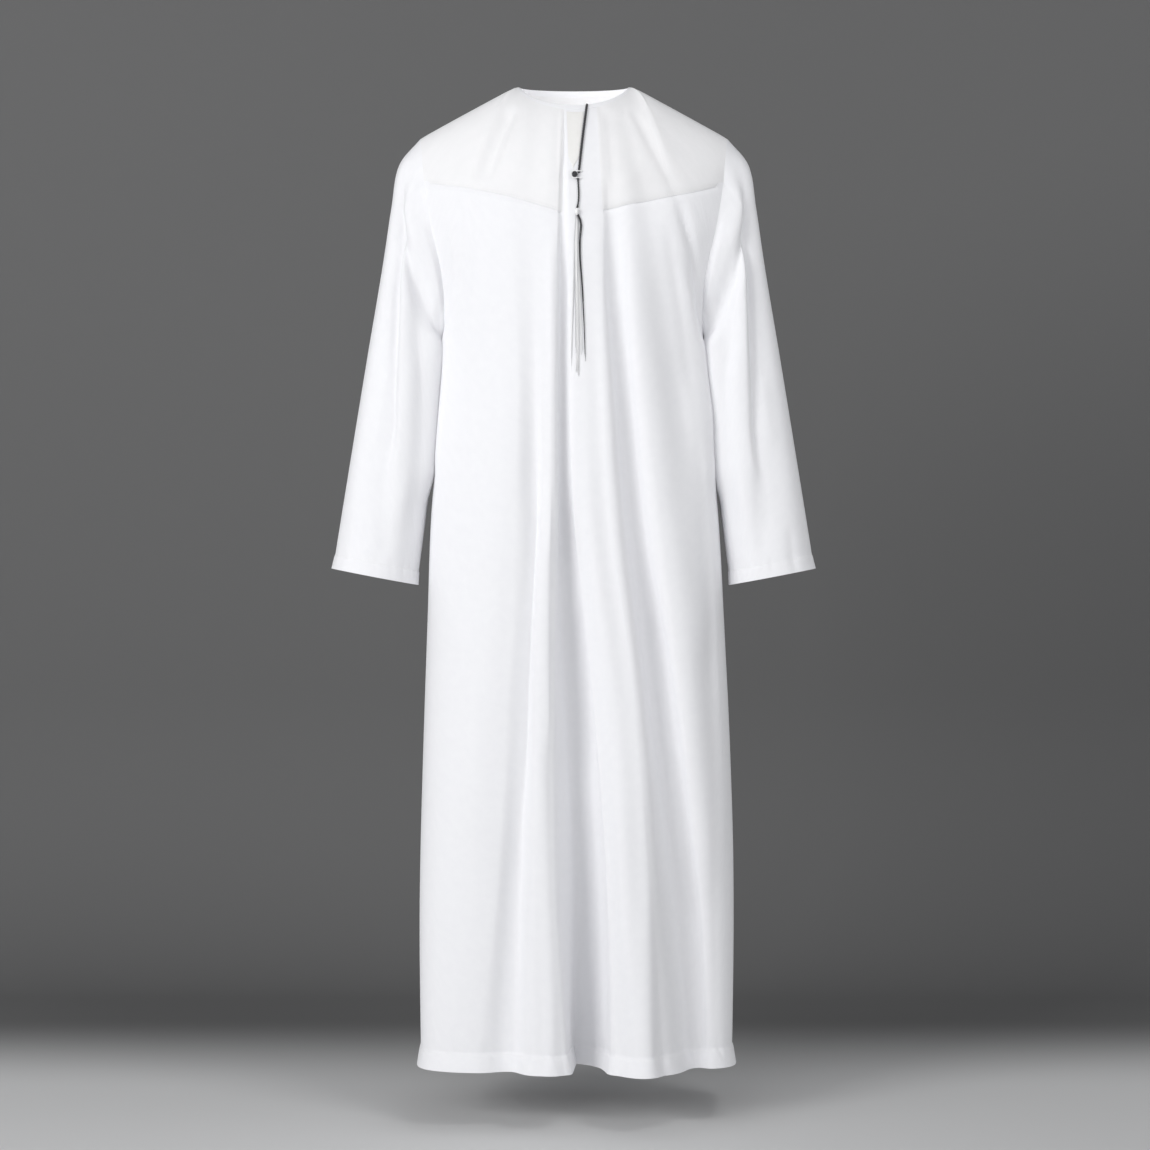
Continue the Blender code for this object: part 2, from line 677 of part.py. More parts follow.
def build_piping(front, collection, finish):
    """The dark cord along the slit's right lip, from the binding to just above the loop."""
    _, slit, _ = front_columns()
    rows = np.s_[1 : SLIT_ROWS + 1]
    points = front[rows, slit] + grid_normals(front)[rows, slit] * (PIPING_RADIUS + SEAM_GAP)
    points[:, 0] += PIPING_SHIFT
    points[0] += unit(points[1] - points[0]) * SEAM_GAP * 3
    points[-1] += (points[-2] - points[-1]) * 0.12
    return tube("slit_piping", points, PIPING_RADIUS, collection, finish)


def cloth_point(cloth, x, drop):
    """The point of the front's outer face at x and a drop, seen from in front."""
    point, _, _, _ = cloth.ray_cast(Vector((x, -1.0, -drop)), Vector((0.0, 1.0, 0.0)))
    return np.array(point)


def button_centre(cloth):
    """The middle of the button, which is clear of the placket's point."""
    lift = SEAM_GAP * 2 + STRIP_CLOTH + BUTTON_RADIUS * BUTTON_FLATNESS
    return cloth_point(cloth, BUTTON_X, BUTTON_DROP) - [0, lift, 0]


def build_button(cloth, collection, finish):
    """The knot that closes the slit."""
    bpy.ops.mesh.primitive_uv_sphere_add(segments=16, ring_count=10, radius=BUTTON_RADIUS)
    button = bpy.context.object
    button.name = "button_knot"
    button.location = button_centre(cloth)
    button.scale = (1.0, BUTTON_FLATNESS, 1.0)
    button.data.materials.append(finish)
    for owner in list(button.users_collection):
        owner.objects.unlink(button)
    collection.objects.link(button)


def build_loop(cloth, collection, finish):
    """The loop of cord round the button, from the slit's right side and back to it."""
    centre = button_centre(cloth)
    reach = BUTTON_RADIUS + LOOP_RADIUS + SEAM_GAP
    turns = np.radians(np.linspace(70, 290, 13))
    around = [centre + [reach * math.cos(turn), 0, reach * math.sin(turn)] for turn in turns]
    ends = []
    for side in (1, -1):
        drop = -centre[2] - side * reach
        end = cloth_point(cloth, LOOP_END_X, drop) - [0, LOOP_RADIUS + SEAM_GAP * 2, 0]
        ends.append(end)
    return tube("button_loop", [ends[0], *around, ends[1]], LOOP_RADIUS, collection, finish)


def build_tassel_cord(cloth, collection, finish):
    """The short cord from the loop to the tassel's head."""
    lift = TASSEL_CORD_RADIUS + SEAM_GAP * 2
    points = [cloth_point(cloth, x, drop) - [0, lift, 0] for x, drop in TASSEL_CORD]
    return tube("tassel_cord", points, TASSEL_CORD_RADIUS, collection, finish)


def build_tassel(cloth, collection, finish):
    """The tassel: a small head whose underside runs out into long strands that lie on the front."""
    top = cloth_point(cloth, HEAD_X, HEAD_TOP_DROP)
    low = cloth_point(cloth, HEAD_X, HEAD_TOP_DROP + HEAD_LENGTH)
    clear = HEAD_RADIUS + SEAM_GAP * 2
    middle = (top + low) / 2 - [0, clear, 0]
    work = bmesh.new()
    lean = Matrix.Rotation(math.atan2(low[1] - top[1], HEAD_LENGTH), 4, "X")
    bmesh.ops.create_cone(
        work,
        cap_ends=True,
        cap_tris=True,
        segments=STRANDS,
        radius1=HEAD_RADIUS,
        radius2=HEAD_RADIUS * 0.6,
        depth=HEAD_LENGTH,
        matrix=Matrix.Translation(middle) @ lean,
    )
    roots = [face for face in work.faces if face.normal.z < -0.7]
    bmesh.ops.inset_individual(work, faces=roots, thickness=STRAND_INSET, use_even_offset=True)
    start_drop = HEAD_TOP_DROP + HEAD_LENGTH
    for face in roots:
        from_head = face.calc_center_median() - Vector(middle)
        for step in range(1, STRAND_STEPS + 1):
            share = step / STRAND_STEPS
            drop = start_drop + (STRAND_END_DROP - start_drop) * share
            x = HEAD_X + from_head.x * (1 + STRAND_SPREAD * share) + STRAND_DRIFT * share
            target = cloth_point(cloth, x, drop) - [0, clear, 0] + [0, from_head.y * 0.8, 0]
            face = bmesh.ops.extrude_discrete_faces(work, faces=[face])["faces"][0]
            bmesh.ops.translate(work, verts=face.verts, vec=Vector(target) - face.calc_center_median())
    mesh = bpy.data.meshes.new("tassel")
    work.to_mesh(mesh)
    work.free()
    mesh.materials.append(finish)
    made = bpy.data.objects.new("tassel", mesh)
    collection.objects.link(made)
    return made


def clear_scene():
    """Removes the start-up objects."""
    for item in list(bpy.data.objects):
        bpy.data.objects.remove(item, do_unlink=True)


def main():
    """Builds the robe."""
    clear_scene()
    robe = bpy.data.collections.new("robe")
    bpy.context.scene.collection.children.link(robe)

    cloth = material("white_poplin", (0.86, 0.86, 0.87), 0.8)
    facing = material("ivory_poplin", (0.80, 0.79, 0.76), 0.8)
    thread = material("white_thread", (0.82, 0.82, 0.82), 0.6)
    dark = material("dark_cord", (0.045, 0.045, 0.05), 0.6)

    front = panel_grid(FRONT_CREASES, FRONT_STANDS, behind=False)
    back = panel_grid(BACK_CREASES, BACK_STANDS, behind=True)
    pit = YOKE_ROWS + ARMHOLE_ROWS
    left = sleeve_grid(front[: pit + 1, 0], back[: pit + 1, -1], -1)
    right = sleeve_grid(front[: pit + 1, -1], back[: pit + 1, 0], 1)

    # The points next to each armhole and side seam, on the piece that is sewn on there.
    sleeve_ring_left, sleeve_ring_right = left[1], right[1, ::-1]
    front_left = np.concatenate([sleeve_ring_left[: pit + 1], back[pit + 1 :, -2]])
    front_right = np.concatenate([sleeve_ring_right[: pit + 1], back[pit + 1 :, 1]])
    back_left = np.concatenate([sleeve_ring_left[pit:][::-1], front[pit + 1 :, 1]])
    back_right = np.concatenate([sleeve_ring_right[pit:][::-1], front[pit + 1 :, -2]])
    body_ring_left = np.concatenate([front[: pit + 1, 1], back[: pit + 1, -2][::-1][1:]])
    body_ring_right = np.concatenate([front[: pit + 1, -2], back[: pit + 1, 1][::-1][1:]])

    front_object = build_front(front, front_left, front_right, robe, cloth)
    build_back(back, back_right, back_left, robe, cloth)
    build_yoke(front, back, (front_left, front_right, back_right, back_left), robe, facing)
    build_sleeve("sleeve_left", left, body_ring_left, robe, cloth)
    build_sleeve("sleeve_right", right, body_ring_right[::-1], robe, cloth)
    build_binding(front, back, robe, cloth)
    build_placket(front, robe, facing)

    bpy.context.view_layer.update()
    surface = BVHTree.FromObject(front_object, bpy.context.evaluated_depsgraph_get())
    build_piping(front, robe, dark)
    build_button(surface, robe, thread)
    build_loop(surface, robe, thread)
    build_tassel_cord(surface, robe, dark)
    build_tassel(surface, robe, thread)


main()
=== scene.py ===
"""An ankle-length white poplin robe with a shoulder yoke, a slit neck with a pointed placket, and a tassel.

The robe keeps the hollow form in which it is worn. Lengths are in metres unless a name or a comment says
millimetres, +Z is up, the front faces -Y, and the origin lies in the neck opening.
"""

import logging
import math
from dataclasses import dataclass, field
from enum import Enum

import bmesh
import bpy
import numpy as np
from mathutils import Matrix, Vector


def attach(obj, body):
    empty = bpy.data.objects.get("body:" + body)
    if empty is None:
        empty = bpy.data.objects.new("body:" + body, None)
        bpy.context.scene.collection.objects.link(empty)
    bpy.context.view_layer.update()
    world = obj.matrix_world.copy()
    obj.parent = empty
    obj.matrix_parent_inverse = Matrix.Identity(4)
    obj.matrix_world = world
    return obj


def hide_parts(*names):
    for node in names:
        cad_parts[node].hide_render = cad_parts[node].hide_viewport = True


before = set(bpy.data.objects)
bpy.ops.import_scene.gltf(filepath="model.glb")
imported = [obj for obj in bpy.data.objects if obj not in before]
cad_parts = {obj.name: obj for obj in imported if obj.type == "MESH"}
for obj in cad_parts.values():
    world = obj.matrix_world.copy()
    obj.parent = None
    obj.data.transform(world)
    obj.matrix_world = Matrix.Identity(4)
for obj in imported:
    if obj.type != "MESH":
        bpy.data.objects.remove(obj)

log = logging.getLogger("robe")

MM = 0.001
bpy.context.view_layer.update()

# The drops, in metres below the neck points, at which the folds of the body are given.
FOLD_DROPS = (0.200, 0.440, 0.640, 0.900, 1.180, 1.420)
# The share of a crease's length over which each of its ends fades out.
CREASE_FADE = 0.22
# How far from an edge that stays in place a crease reaches its full height.
EDGE_CLEARANCE = 14 * MM
# Points this close are one.
WELD = 0.00002
# The gap between the panels' faces and the small cords that lie on them.
CORD_GAP = 0.6 * MM
# The stitched line of a hem or cuff lies this far, in millimetres, below the upper edge of its band.
STITCH_INSET = 1.6


def through(knots: np.ndarray, values: np.ndarray, at: np.ndarray) -> np.ndarray:
    """A smooth curve through values given at knots.

    Args:
        knots: rising places at which the values are given.
        values: the values there.
        at: the places to read, held level past both ends.

    Returns:
        The curve's values.
    """
    knots = np.asarray(knots, float)
    values = np.asarray(values, float)
    slopes = np.gradient(values, knots)
    at = np.clip(np.asarray(at, float), knots[0], knots[-1])
    left = np.clip(np.searchsorted(knots, at, side="right") - 1, 0, len(knots) - 2)
    span = knots[left + 1] - knots[left]
    w = (at - knots[left]) / span
    rise = (3 - 2 * w) * w * w
    return (
        values[left] * (1 - rise)
        + values[left + 1] * rise
        + slopes[left] * span * w * (1 - w) ** 2
        - slopes[left + 1] * span * w * w * (1 - w)
    )


def eased(share: np.ndarray) -> np.ndarray:
    """A share from 0 to 1 that starts and ends level."""
    return (1 - np.cos(np.pi * np.clip(share, 0, 1))) / 2


def unit(vectors: np.ndarray) -> np.ndarray:
    """Vectors of length one."""
    return vectors / np.maximum(np.linalg.norm(vectors, axis=-1, keepdims=True), 1e-12)


def bell(away: np.ndarray, width: float | np.ndarray) -> np.ndarray:
    """A soft bump of height one round zero, which falls off over a width."""
    return np.exp(-((away / width) ** 2))


def path_lengths(points: np.ndarray) -> np.ndarray:
    """How far along a path each of its points lies."""
    return np.concatenate([[0], np.cumsum(np.linalg.norm(np.diff(points, axis=0), axis=1))])


def grid_normals(points: np.ndarray) -> np.ndarray:
    """Unit normals of a grid whose rows run down and whose columns run round the cloth's outer face."""
    return unit(np.cross(np.gradient(points, axis=0), np.gradient(points, axis=1)))


class Panel(Enum):
    """The two large panels of the body."""

    FRONT = "front"
    BACK = "back"


class Side(Enum):
    """Left or right, as seen from in front."""

    LEFT = -1
    RIGHT = 1


@dataclass(frozen=True)
class Fold:
    """A fold line of a panel: its x in millimetres on the neckline and at each fold drop, and how far it
    stands out of the section, in millimetres, at the collarbone and at each fold drop."""

    name: str
    places: tuple[float, ...]
    stands: tuple[float, ...]


@dataclass(frozen=True)
class SleeveFold:
    """A fold line of a sleeve: angles round it in degrees and stands in millimetres, at cap, elbow and cuff.

    0 is outside, 90 in front, 180 inside and 270 behind.
    """

    name: str
    angles: tuple[float, float, float]
    stands: tuple[float, float, float]


@dataclass(frozen=True)
class Crease:
    """A soft trough or ridge laid on a piece, in the piece's own millimetres or degrees."""

    path: tuple[tuple[float, float], ...]
    width: float
    depth: float


@dataclass
class Cloth:
    """A grid of points on the outer face of a piece of cloth, with its own coordinates for creases.

    Rows run down and columns run round, so that the face points out. Where kept is given, it says which of
    the grid's faces are cloth.
    """

    points: np.ndarray
    across: np.ndarray
    down: np.ndarray
    kept: np.ndarray | None = None

    @property
    def normals(self) -> np.ndarray:
        """Unit normals, pointing out."""
        return grid_normals(self.points)

    def cut(self, rows: slice, columns: slice) -> "Cloth":
        """A part of the grid as a cloth of its own.

        Args:
            rows: the rows to take.
            columns: the columns to take.

        Returns:
            The part, with copies of its points.
        """
        kept = None
        if self.kept is not None:
            row_first, row_last, _ = rows.indices(self.across.shape[0])
            column_first, column_last, _ = columns.indices(self.across.shape[1])
            kept = self.kept[row_first : row_last - 1, column_first : column_last - 1].copy()
        return Cloth(
            self.points[rows, columns].copy(),
            self.across[rows, columns].copy(),
            self.down[rows, columns].copy(),
            kept,
        )

    def moved(self, distance: np.ndarray | float) -> "Cloth":
        """The cloth with its points moved out along their normals."""
        distance = np.broadcast_to(distance, self.across.shape)
        return Cloth(self.points + self.normals * distance[..., None], self.across, self.down, self.kept)

    def creased(self, creases: tuple[Crease, ...], clear: tuple[str, ...]) -> "Cloth":
        """The cloth with creases pressed into it.

        Args:
            creases: troughs with a negative depth and ridges with a positive one.
            clear: the edges, such as top, that the creases leave where they are.

        Returns:
            The creased cloth.
        """
        height = np.zeros(self.across.shape)
        for crease in creases:
            path = np.array(crease.path, float)
            lengths = np.linalg.norm(np.diff(path, axis=0), axis=1)
            starts = np.concatenate([[0], np.cumsum(lengths)])
            nearest = np.full(self.across.shape, np.inf)
            along = np.zeros(self.across.shape)
            for (ax, ay), (bx, by), start, length in zip(path, path[1:], starts, lengths):
                dx, dy = (bx - ax) / length, (by - ay) / length
                t = np.clip((self.across - ax) * dx + (self.down - ay) * dy, 0, length)
                away = np.hypot(self.across - ax - t * dx, self.down - ay - t * dy)
                closer = away < nearest
                nearest = np.where(closer, away, nearest)
                along = np.where(closer, (start + t) / starts[-1], along)
            fade = eased(along / CREASE_FADE) * eased((1 - along) / CREASE_FADE)
            height += crease.depth * MM * bell(nearest, crease.width) * fade
        far = self.edge_distances()
        for edge in clear:
            height *= eased(far[edge] / EDGE_CLEARANCE)
        return self.moved(height)

    def edge_distances(self) -> dict[str, np.ndarray]:
        """How far each point lies from the top, bottom, first and last edge, in metres along the cloth."""
        points = self.points
        steps_down = np.linalg.norm(np.diff(points, axis=0), axis=-1)
        steps_round = np.linalg.norm(np.diff(points, axis=1), axis=-1)
        zero_row = np.zeros((1, points.shape[1]))
        zero_column = np.zeros((points.shape[0], 1))
        return {
            "top": np.concatenate([zero_row, np.cumsum(steps_down, axis=0)]),
            "bottom": np.concatenate([np.cumsum(steps_down[::-1], axis=0)[::-1], zero_row]),
            "first": np.concatenate([zero_column, np.cumsum(steps_round, axis=1)], axis=1),
            "last": np.concatenate([np.cumsum(steps_round[:, ::-1], axis=1)[:, ::-1], zero_column], axis=1),
        }

    def seamed(
        self, edges: tuple[str, ...], depth: float = 0.2, width: float = 2.0, below: float = 0.0
    ) -> "Cloth":
        """The cloth with edges turned in to a seam.

        Args:
            edges: any of top, bottom, first and last.
            depth: how deep the seam lies, in millimetres.
            width: how wide the turn is, in millimetres.
            below: the drop, in millimetres, below which the seam is turned.

        Returns:
            The cloth with its edges rolled down.
        """
        far = self.edge_distances()
        roll = sum(bell(far[edge], width * MM) for edge in edges)
        return self.moved(-depth * MM * np.minimum(roll, 1.0) * (self.down > below))

    def measured(self) -> np.ndarray:
        """The grid's own flat coordinates, for the weave.

        Returns:
            For each point, metres across from the middle column and metres up from the first row.
        """
        middle = self.points.shape[1] // 2
        steps = np.linalg.norm(np.diff(self.points, axis=1), axis=-1)
        across = np.concatenate([np.zeros((len(steps), 1)), np.cumsum(steps, axis=1)], axis=1)
        across -= across[:, middle : middle + 1]
        falls = np.linalg.norm(np.diff(self.points, axis=0), axis=-1)
        down = np.concatenate([np.zeros((1, falls.shape[1])), np.cumsum(falls, axis=0)])
        return np.stack([across, -down], axis=-1)

    def at(self, x: float, drop: float) -> np.ndarray:
        """The point of the cloth that lies at x and a drop, seen from in front.

        Args:
            x: metres to the right of the middle.
            drop: metres below the neck points.

        Returns:
            The point, as deep as the nearest six points of the grid are on average.
        """
        away = (self.points[..., 0] - x) ** 2 + (self.points[..., 2] + drop) ** 2
        near = np.argpartition(away.ravel(), 6)[:6]
        weight = 1 / (away.ravel()[near] + 1e-8)
        weight /= weight.sum()
        point = (self.points.reshape(-1, 3)[near] * weight[:, None]).sum(axis=0)
        return np.array([x, point[1], -drop])


@dataclass
class RobeForm:
    """The worn form of the robe: sections of the body, the armholes, the folds and the yoke's line."""

    length: float = 1.42
    neck_half_width: float = 0.080
    neck_front_depth: float = 0.068
    neck_back_depth: float = 0.056
    neck_front_drop: float = 0.039
    neck_back_rise: float = 0.005
    shoulder_half_width: float = 0.226
    shoulder_drop: float = 0.076
    yoke_drop_centre: float = 0.2045
    yoke_drop_armhole: float = 0.148
    yoke_sweep: float = 1.3
    yoke_sweep_right: float = 0.8
    back_yoke_drop_centre: float = 0.185
    # how steeply, in degrees, the cloth already falls where it leaves the neckline's middle
    neck_turn: float = 52.0
    armpit_drop: float = 0.400
    binding_share: float = 0.045
    yoke_rows: int = 42
    armhole_rows: int = 48
    skirt_rows: int = 128
    hem_rows: int = 24
    hem_zone: float = 0.034
    fold_columns: int = 12
    shoulder_columns: int = 14
    # drop, half width, front depth, back depth, squareness
    sections: tuple[tuple[float, ...], ...] = (
        (0.140, 0.2400, 0.104, 0.104, 2.20),
        (0.210, 0.2325, 0.120, 0.112, 2.30),
        (0.280, 0.2060, 0.126, 0.116, 2.40),
        (0.400, 0.1910, 0.127, 0.118, 2.60),
        (0.510, 0.1985, 0.126, 0.118, 2.80),
        (0.610, 0.2080, 0.125, 0.119, 3.00),
        (0.780, 0.2160, 0.123, 0.121, 3.30),
        (0.970, 0.2235, 0.121, 0.122, 3.70),
        (1.190, 0.2283, 0.119, 0.122, 4.40),
        (1.420, 0.2255, 0.118, 0.122, 5.50),
    )
    # drop, sideways
    sway: tuple[tuple[float, float], ...] = (
        (0.000, -0.0015),
        (0.400, -0.0020),
        (0.620, -0.0005),
        (0.900, 0.0020),
        (1.420, 0.0025),
    )
    # drop, front half width, back half width
    armhole: tuple[tuple[float, ...], ...] = (
        (0.148, 0.2165, 0.2220),
        (0.210, 0.2063, 0.2150),
        (0.280, 0.1905, 0.2000),
        (0.340, 0.1868, 0.1915),
        (0.400, 0.1910, 0.1910),
    )
    front_folds: tuple[Fold, ...] = (
        Fold("left_break", (-80, -149, -178, -196, -202, -206, -203), (-5, -1, 2, 1, 0, 0, 0)),
        Fold("left_ridge", (-60, -92, -80, -85, -99, -116, -142), (2, 1, 4, 6, 6, 4, 2)),
        Fold("side_trough", (-42, -60, -57, -54, -67, -84, -94), (0, 0, -2, -5, -7, -8, -6)),
        Fold("inner_ridge", (-28, -37, -42, -44, -52, -57, -52), (1, 1, 2, 4, 8, 13, 19)),
        Fold("fold_lip", (-19, -23, -28, -30, -36, -32, -14), (0, 1, 2, 3, 5, 10, 15)),
        Fold("main_fold", (-14, -16, -18, -19, -11, 1, -4), (-3, -4, -9, -18, -33, -50, -64)),
        Fold("placket_left", (-11, -5, -8, -1, 23, 44, 57), (0, 0, 0, 0, 2, 8, 17)),
        Fold("slit_line", (18, 0, 18, 25, 57, 74, 96), (0, 0, 3, 6, 12, 22, 34)),
        Fold("yoke_corner", (32, 41, 40, 51, 85, 108, 125), (0, 0, 0, 1, 4, 14, 25)),
        Fold("right_fold", (37, 52, 66, 82, 115, 147, 172), (-1, -3, -9, -15, -20, -16, -4)),
        Fold("right_ridge", (50, 78, 100, 122, 150, 180, 194), (1, 1, 3, 3, 4, 3, 0)),
        Fold("armpit_fold", (66, 108, 147, 178, 192, 200, 203), (-2, -3, -6, -6, -3, 0, 0)),
        Fold("right_break", (80, 144, 174, 196, 207, 213, 211), (-4, 0, 3, 1, 0, 0, 0)),
    )
    back_folds: tuple[Fold, ...] = (
        Fold("right_turn", (80, 150, 174, 190, 198, 204, 202), (-3, 0, 1, 0, 0, 0, 0)),
        Fold("right_swell", (60, 112, 128, 138, 150, 158, 160), (1, 1, 3, 4, 5, 7, 9)),
        Fold("right_hollow", (44, 78, 92, 98, 106, 116, 122), (0, -2, -6, -11, -18, -26, -33)),
        Fold("right_rise", (26, 44, 55, 60, 66, 74, 84), (1, 1, 3, 5, 9, 14, 20)),
        Fold("middle_hollow", (4, 8, 12, 16, 20, 22, 30), (0, -2, -5, -8, -12, -18, -24)),
        Fold("left_rise", (-22, -34, -34, -30, -30, -34, -28), (1, 1, 3, 5, 8, 12, 16)),
        Fold("left_hollow", (-42, -70, -72, -74, -76, -84, -80), (0, -2, -5, -10, -15, -22, -30)),
        Fold("left_swell", (-60, -108, -118, -128, -136, -140, -136), (1, 1, 2, 4, 6, 9, 12)),
        Fold("left_turn", (-80, -150, -172, -190, -198, -206, -204), (-3, 0, 1, 0, 0, 0, 0)),
    )
    # along, outer x, outer drop, inner x, inner drop, half depth, forward
    sleeve_sections: tuple[tuple[float, ...], ...] = (
        (0.00, 0.2260, 0.0760, 0.1910, 0.4000, 0.0660, 0.000),
        (0.10, 0.2565, 0.1150, 0.1935, 0.4120, 0.0690, 0.000),
        (0.20, 0.2665, 0.1750, 0.1950, 0.4320, 0.0700, 0.001),
        (0.32, 0.2770, 0.2500, 0.1975, 0.4620, 0.0690, 0.004),
        (0.52, 0.3000, 0.3900, 0.2036, 0.5300, 0.0640, 0.011),
        (0.74, 0.3232, 0.5350, 0.2135, 0.6150, 0.0580, 0.019),
        (1.00, 0.3500, 0.7050, 0.2280, 0.7285, 0.0530, 0.028),
    )
    sleeve_sway: float = -0.0020
    sleeve_rows: int = 110
    cuff_rows: int = 34
    cuff_zone: float = 0.08
    # how much closer together the sleeve's first rows lie, as a power
    sleeve_crowding: float = 1.15
    # the shares of the sleeve's length over which the armhole's shape fades out of its sections, its columns
    # turn to the fold lines and its folds rise, and what share of the folds the last fifth loses
    cap_fade: float = 0.40
    cap_turn: float = 0.45
    fold_rise: float = 0.15
    cuff_fade: float = 0.2
    cuff_loss: float = 0.8
    sleeve_folds: tuple[SleeveFold, ...] = (
        SleeveFold("outer_edge", (0, 0, 0), (0, 0, 0)),
        SleeveFold("outer_roll", (22, 30, 38), (2, 2, 1)),
        SleeveFold("long_trough", (40, 66, 92), (-7, -7, -3)),
        SleeveFold("front_ridge", (62, 92, 118), (3, 3, 1)),
        SleeveFold("armpit_trough", (96, 124, 142), (-7, -1, 0)),
        SleeveFold("inner_roll", (132, 148, 160), (1, 3, 1)),
        SleeveFold("inner_edge", (180, 180, 180), (0, 0, 0)),
        SleeveFold("back_roll", (214, 210, 204), (0, 1, 0)),
        SleeveFold("back_trough", (240, 236, 232), (-7, -6, -2)),
        SleeveFold("back_ridge", (266, 264, 262), (3, 3, 1)),
        SleeveFold("elbow_trough", (296, 290, 286), (-5, -7, -2)),
        SleeveFold("outer_back_roll", (328, 322, 318), (2, 2, 1)),
        SleeveFold("outer_edge_again", (360, 360, 360), (0, 0, 0)),
    )

    def body_section(self, drop: np.ndarray) -> list[np.ndarray]:
        """Half width, front depth, back depth and squareness of the body at a drop."""
        drops, *columns = zip(*self.sections)
        return [through(drops, column, drop) for column in columns]

    def side_width(self, drop: np.ndarray, panel: Panel) -> np.ndarray:
        """Half width at which a panel ends.

        Args:
            drop: metres below the neck points.
            panel: front or back.

        Returns:
            The half width of the armhole seam, and below the armpit that of the side seam.
        """
        drops, front, back = zip(*self.armhole)
        seam = through(drops, back if panel is Panel.BACK else front, drop)
        return np.where(np.asarray(drop) < self.armpit_drop, seam, self.body_section(drop)[0])

    def folds(self, panel: Panel) -> tuple[Fold, ...]:
        """The fold lines of a panel."""
        return self.front_folds if panel is Panel.FRONT else self.back_folds

    def fold_column(self, name: str, panel: Panel = Panel.FRONT) -> int:
        """The number of the column that lies on a named fold line."""
        order = [fold.name for fold in self.folds(panel)].index(name)
        return self.shoulder_columns + self.fold_columns * order

    def column_places(self, panel: Panel) -> list[tuple[int, float]]:
        """Where each column of a panel lies among its fold lines.

        Args:
            panel: front or back.

        Returns:
            For each column, the fold line to its left and the share of the way to the next.
        """
        folds = len(self.folds(panel))
        counts = [self.shoulder_columns] + [self.fold_columns] * (folds - 1) + [self.shoulder_columns]
        places = [(i, step / count) for i, count in enumerate(counts) for step in range(count)]
        return places + [(folds, 1.0)]

    def shoulder_point(self, share: float, side: int) -> np.ndarray:
        """A point of the shoulder line.

        Args:
            share: the share of the way from the sleeve to the neck, in even columns.
            side: -1 on the left and 1 on the right.

        Returns:
            The point, with a quarter of the columns under the binding.
        """
        share = float(np.interp(share, [0, 0.75, 1], [0, 1 - self.binding_share, 1]))
        x = self.shoulder_half_width + (self.neck_half_width - self.shoulder_half_width) * share
        return np.array([side * x, 0.0, -self.shoulder_drop * (1 - share)])

    def neck_point(self, x: float, panel: Panel) -> np.ndarray:
        """A point of the neckline.

        Args:
            x: metres to the right of the middle.
            panel: front or back.

        Returns:
            The point.
        """
        rounded = math.sqrt(max(0.0, 1 - (x / self.neck_half_width) ** 2))
        if panel is Panel.BACK:
            return np.array([x, self.neck_back_depth * rounded, self.neck_back_rise * rounded])
        return np.array([x, -self.neck_front_depth * rounded, -self.neck_front_drop * rounded**1.3])

    def top_edge(self, panel: Panel) -> np.ndarray:
        """The top edge of a panel.

        Args:
            panel: front or back.

        Returns:
            Its points along the shoulder line, the neckline and the other shoulder line.
        """
        first_side = -1 if panel is Panel.FRONT else 1
        folds = self.folds(panel)
        necks = [fold.places[0] * MM for fold in folds]
        points = []
        for fold, share in self.column_places(panel):
            if fold == 0:
                points.append(self.shoulder_point(share, first_side))
            elif fold == len(folds):
                points.append(self.shoulder_point(1 - share, -first_side))
            else:
                x = necks[fold - 1] + (necks[fold] - necks[fold - 1]) * share
                points.append(self.neck_point(x, panel))
        return np.array(points)

    def row_drops(self, yoke_edge: np.ndarray) -> np.ndarray:
        """Drops of all rows below the yoke.

        Args:
            yoke_edge: the drop of the yoke's edge on each column.

        Returns:
            The drop of each row on each column.
        """
        shares = np.linspace(0, 1, self.armhole_rows + 1)[:, None]
        armhole = yoke_edge + (self.armpit_drop - yoke_edge) * shares
        zone = self.length - self.hem_zone
        skirt = np.linspace(self.armpit_drop, zone, self.skirt_rows + 1)[1:]
        levels = np.concatenate([skirt, np.linspace(zone, self.length, self.hem_rows + 1)[1:]])
        return np.concatenate([armhole, np.broadcast_to(levels[:, None], (len(levels), len(yoke_edge)))])

    def panel(self, panel: Panel) -> Cloth:
        """The whole front or back, from shoulder and neckline to the hem, with its large folds.

        Args:
            panel: front or back.

        Returns:
            The cloth, whose crease coordinates are x and drop in millimetres.
        """
        behind = panel is Panel.BACK
        folds = self.folds(panel)
        places = self.column_places(panel)
        first_side = 1 if behind else -1
        xs = np.array([fold.places[1:] for fold in folds], float) * MM
        stands = np.array([fold.stands[1:] for fold in folds], float) * MM
        end = float(self.side_width(self.yoke_drop_armhole, panel))
        at_yoke = np.concatenate([[first_side * end], xs[:, 0], [-first_side * end]])
        yoke_x = np.array([at_yoke[i] + (at_yoke[i + 1] - at_yoke[i]) * w for i, w in places])
        centre = self.back_yoke_drop_centre if behind else self.yoke_drop_centre
        inwards = np.clip(1 - np.abs(yoke_x) / end, 0, 1)
        sweep = np.where((yoke_x > 0) & (not behind), self.yoke_sweep_right, self.yoke_sweep)
        drops = self.row_drops(self.yoke_drop_armhole + (centre - self.yoke_drop_armhole) * inwards**sweep)

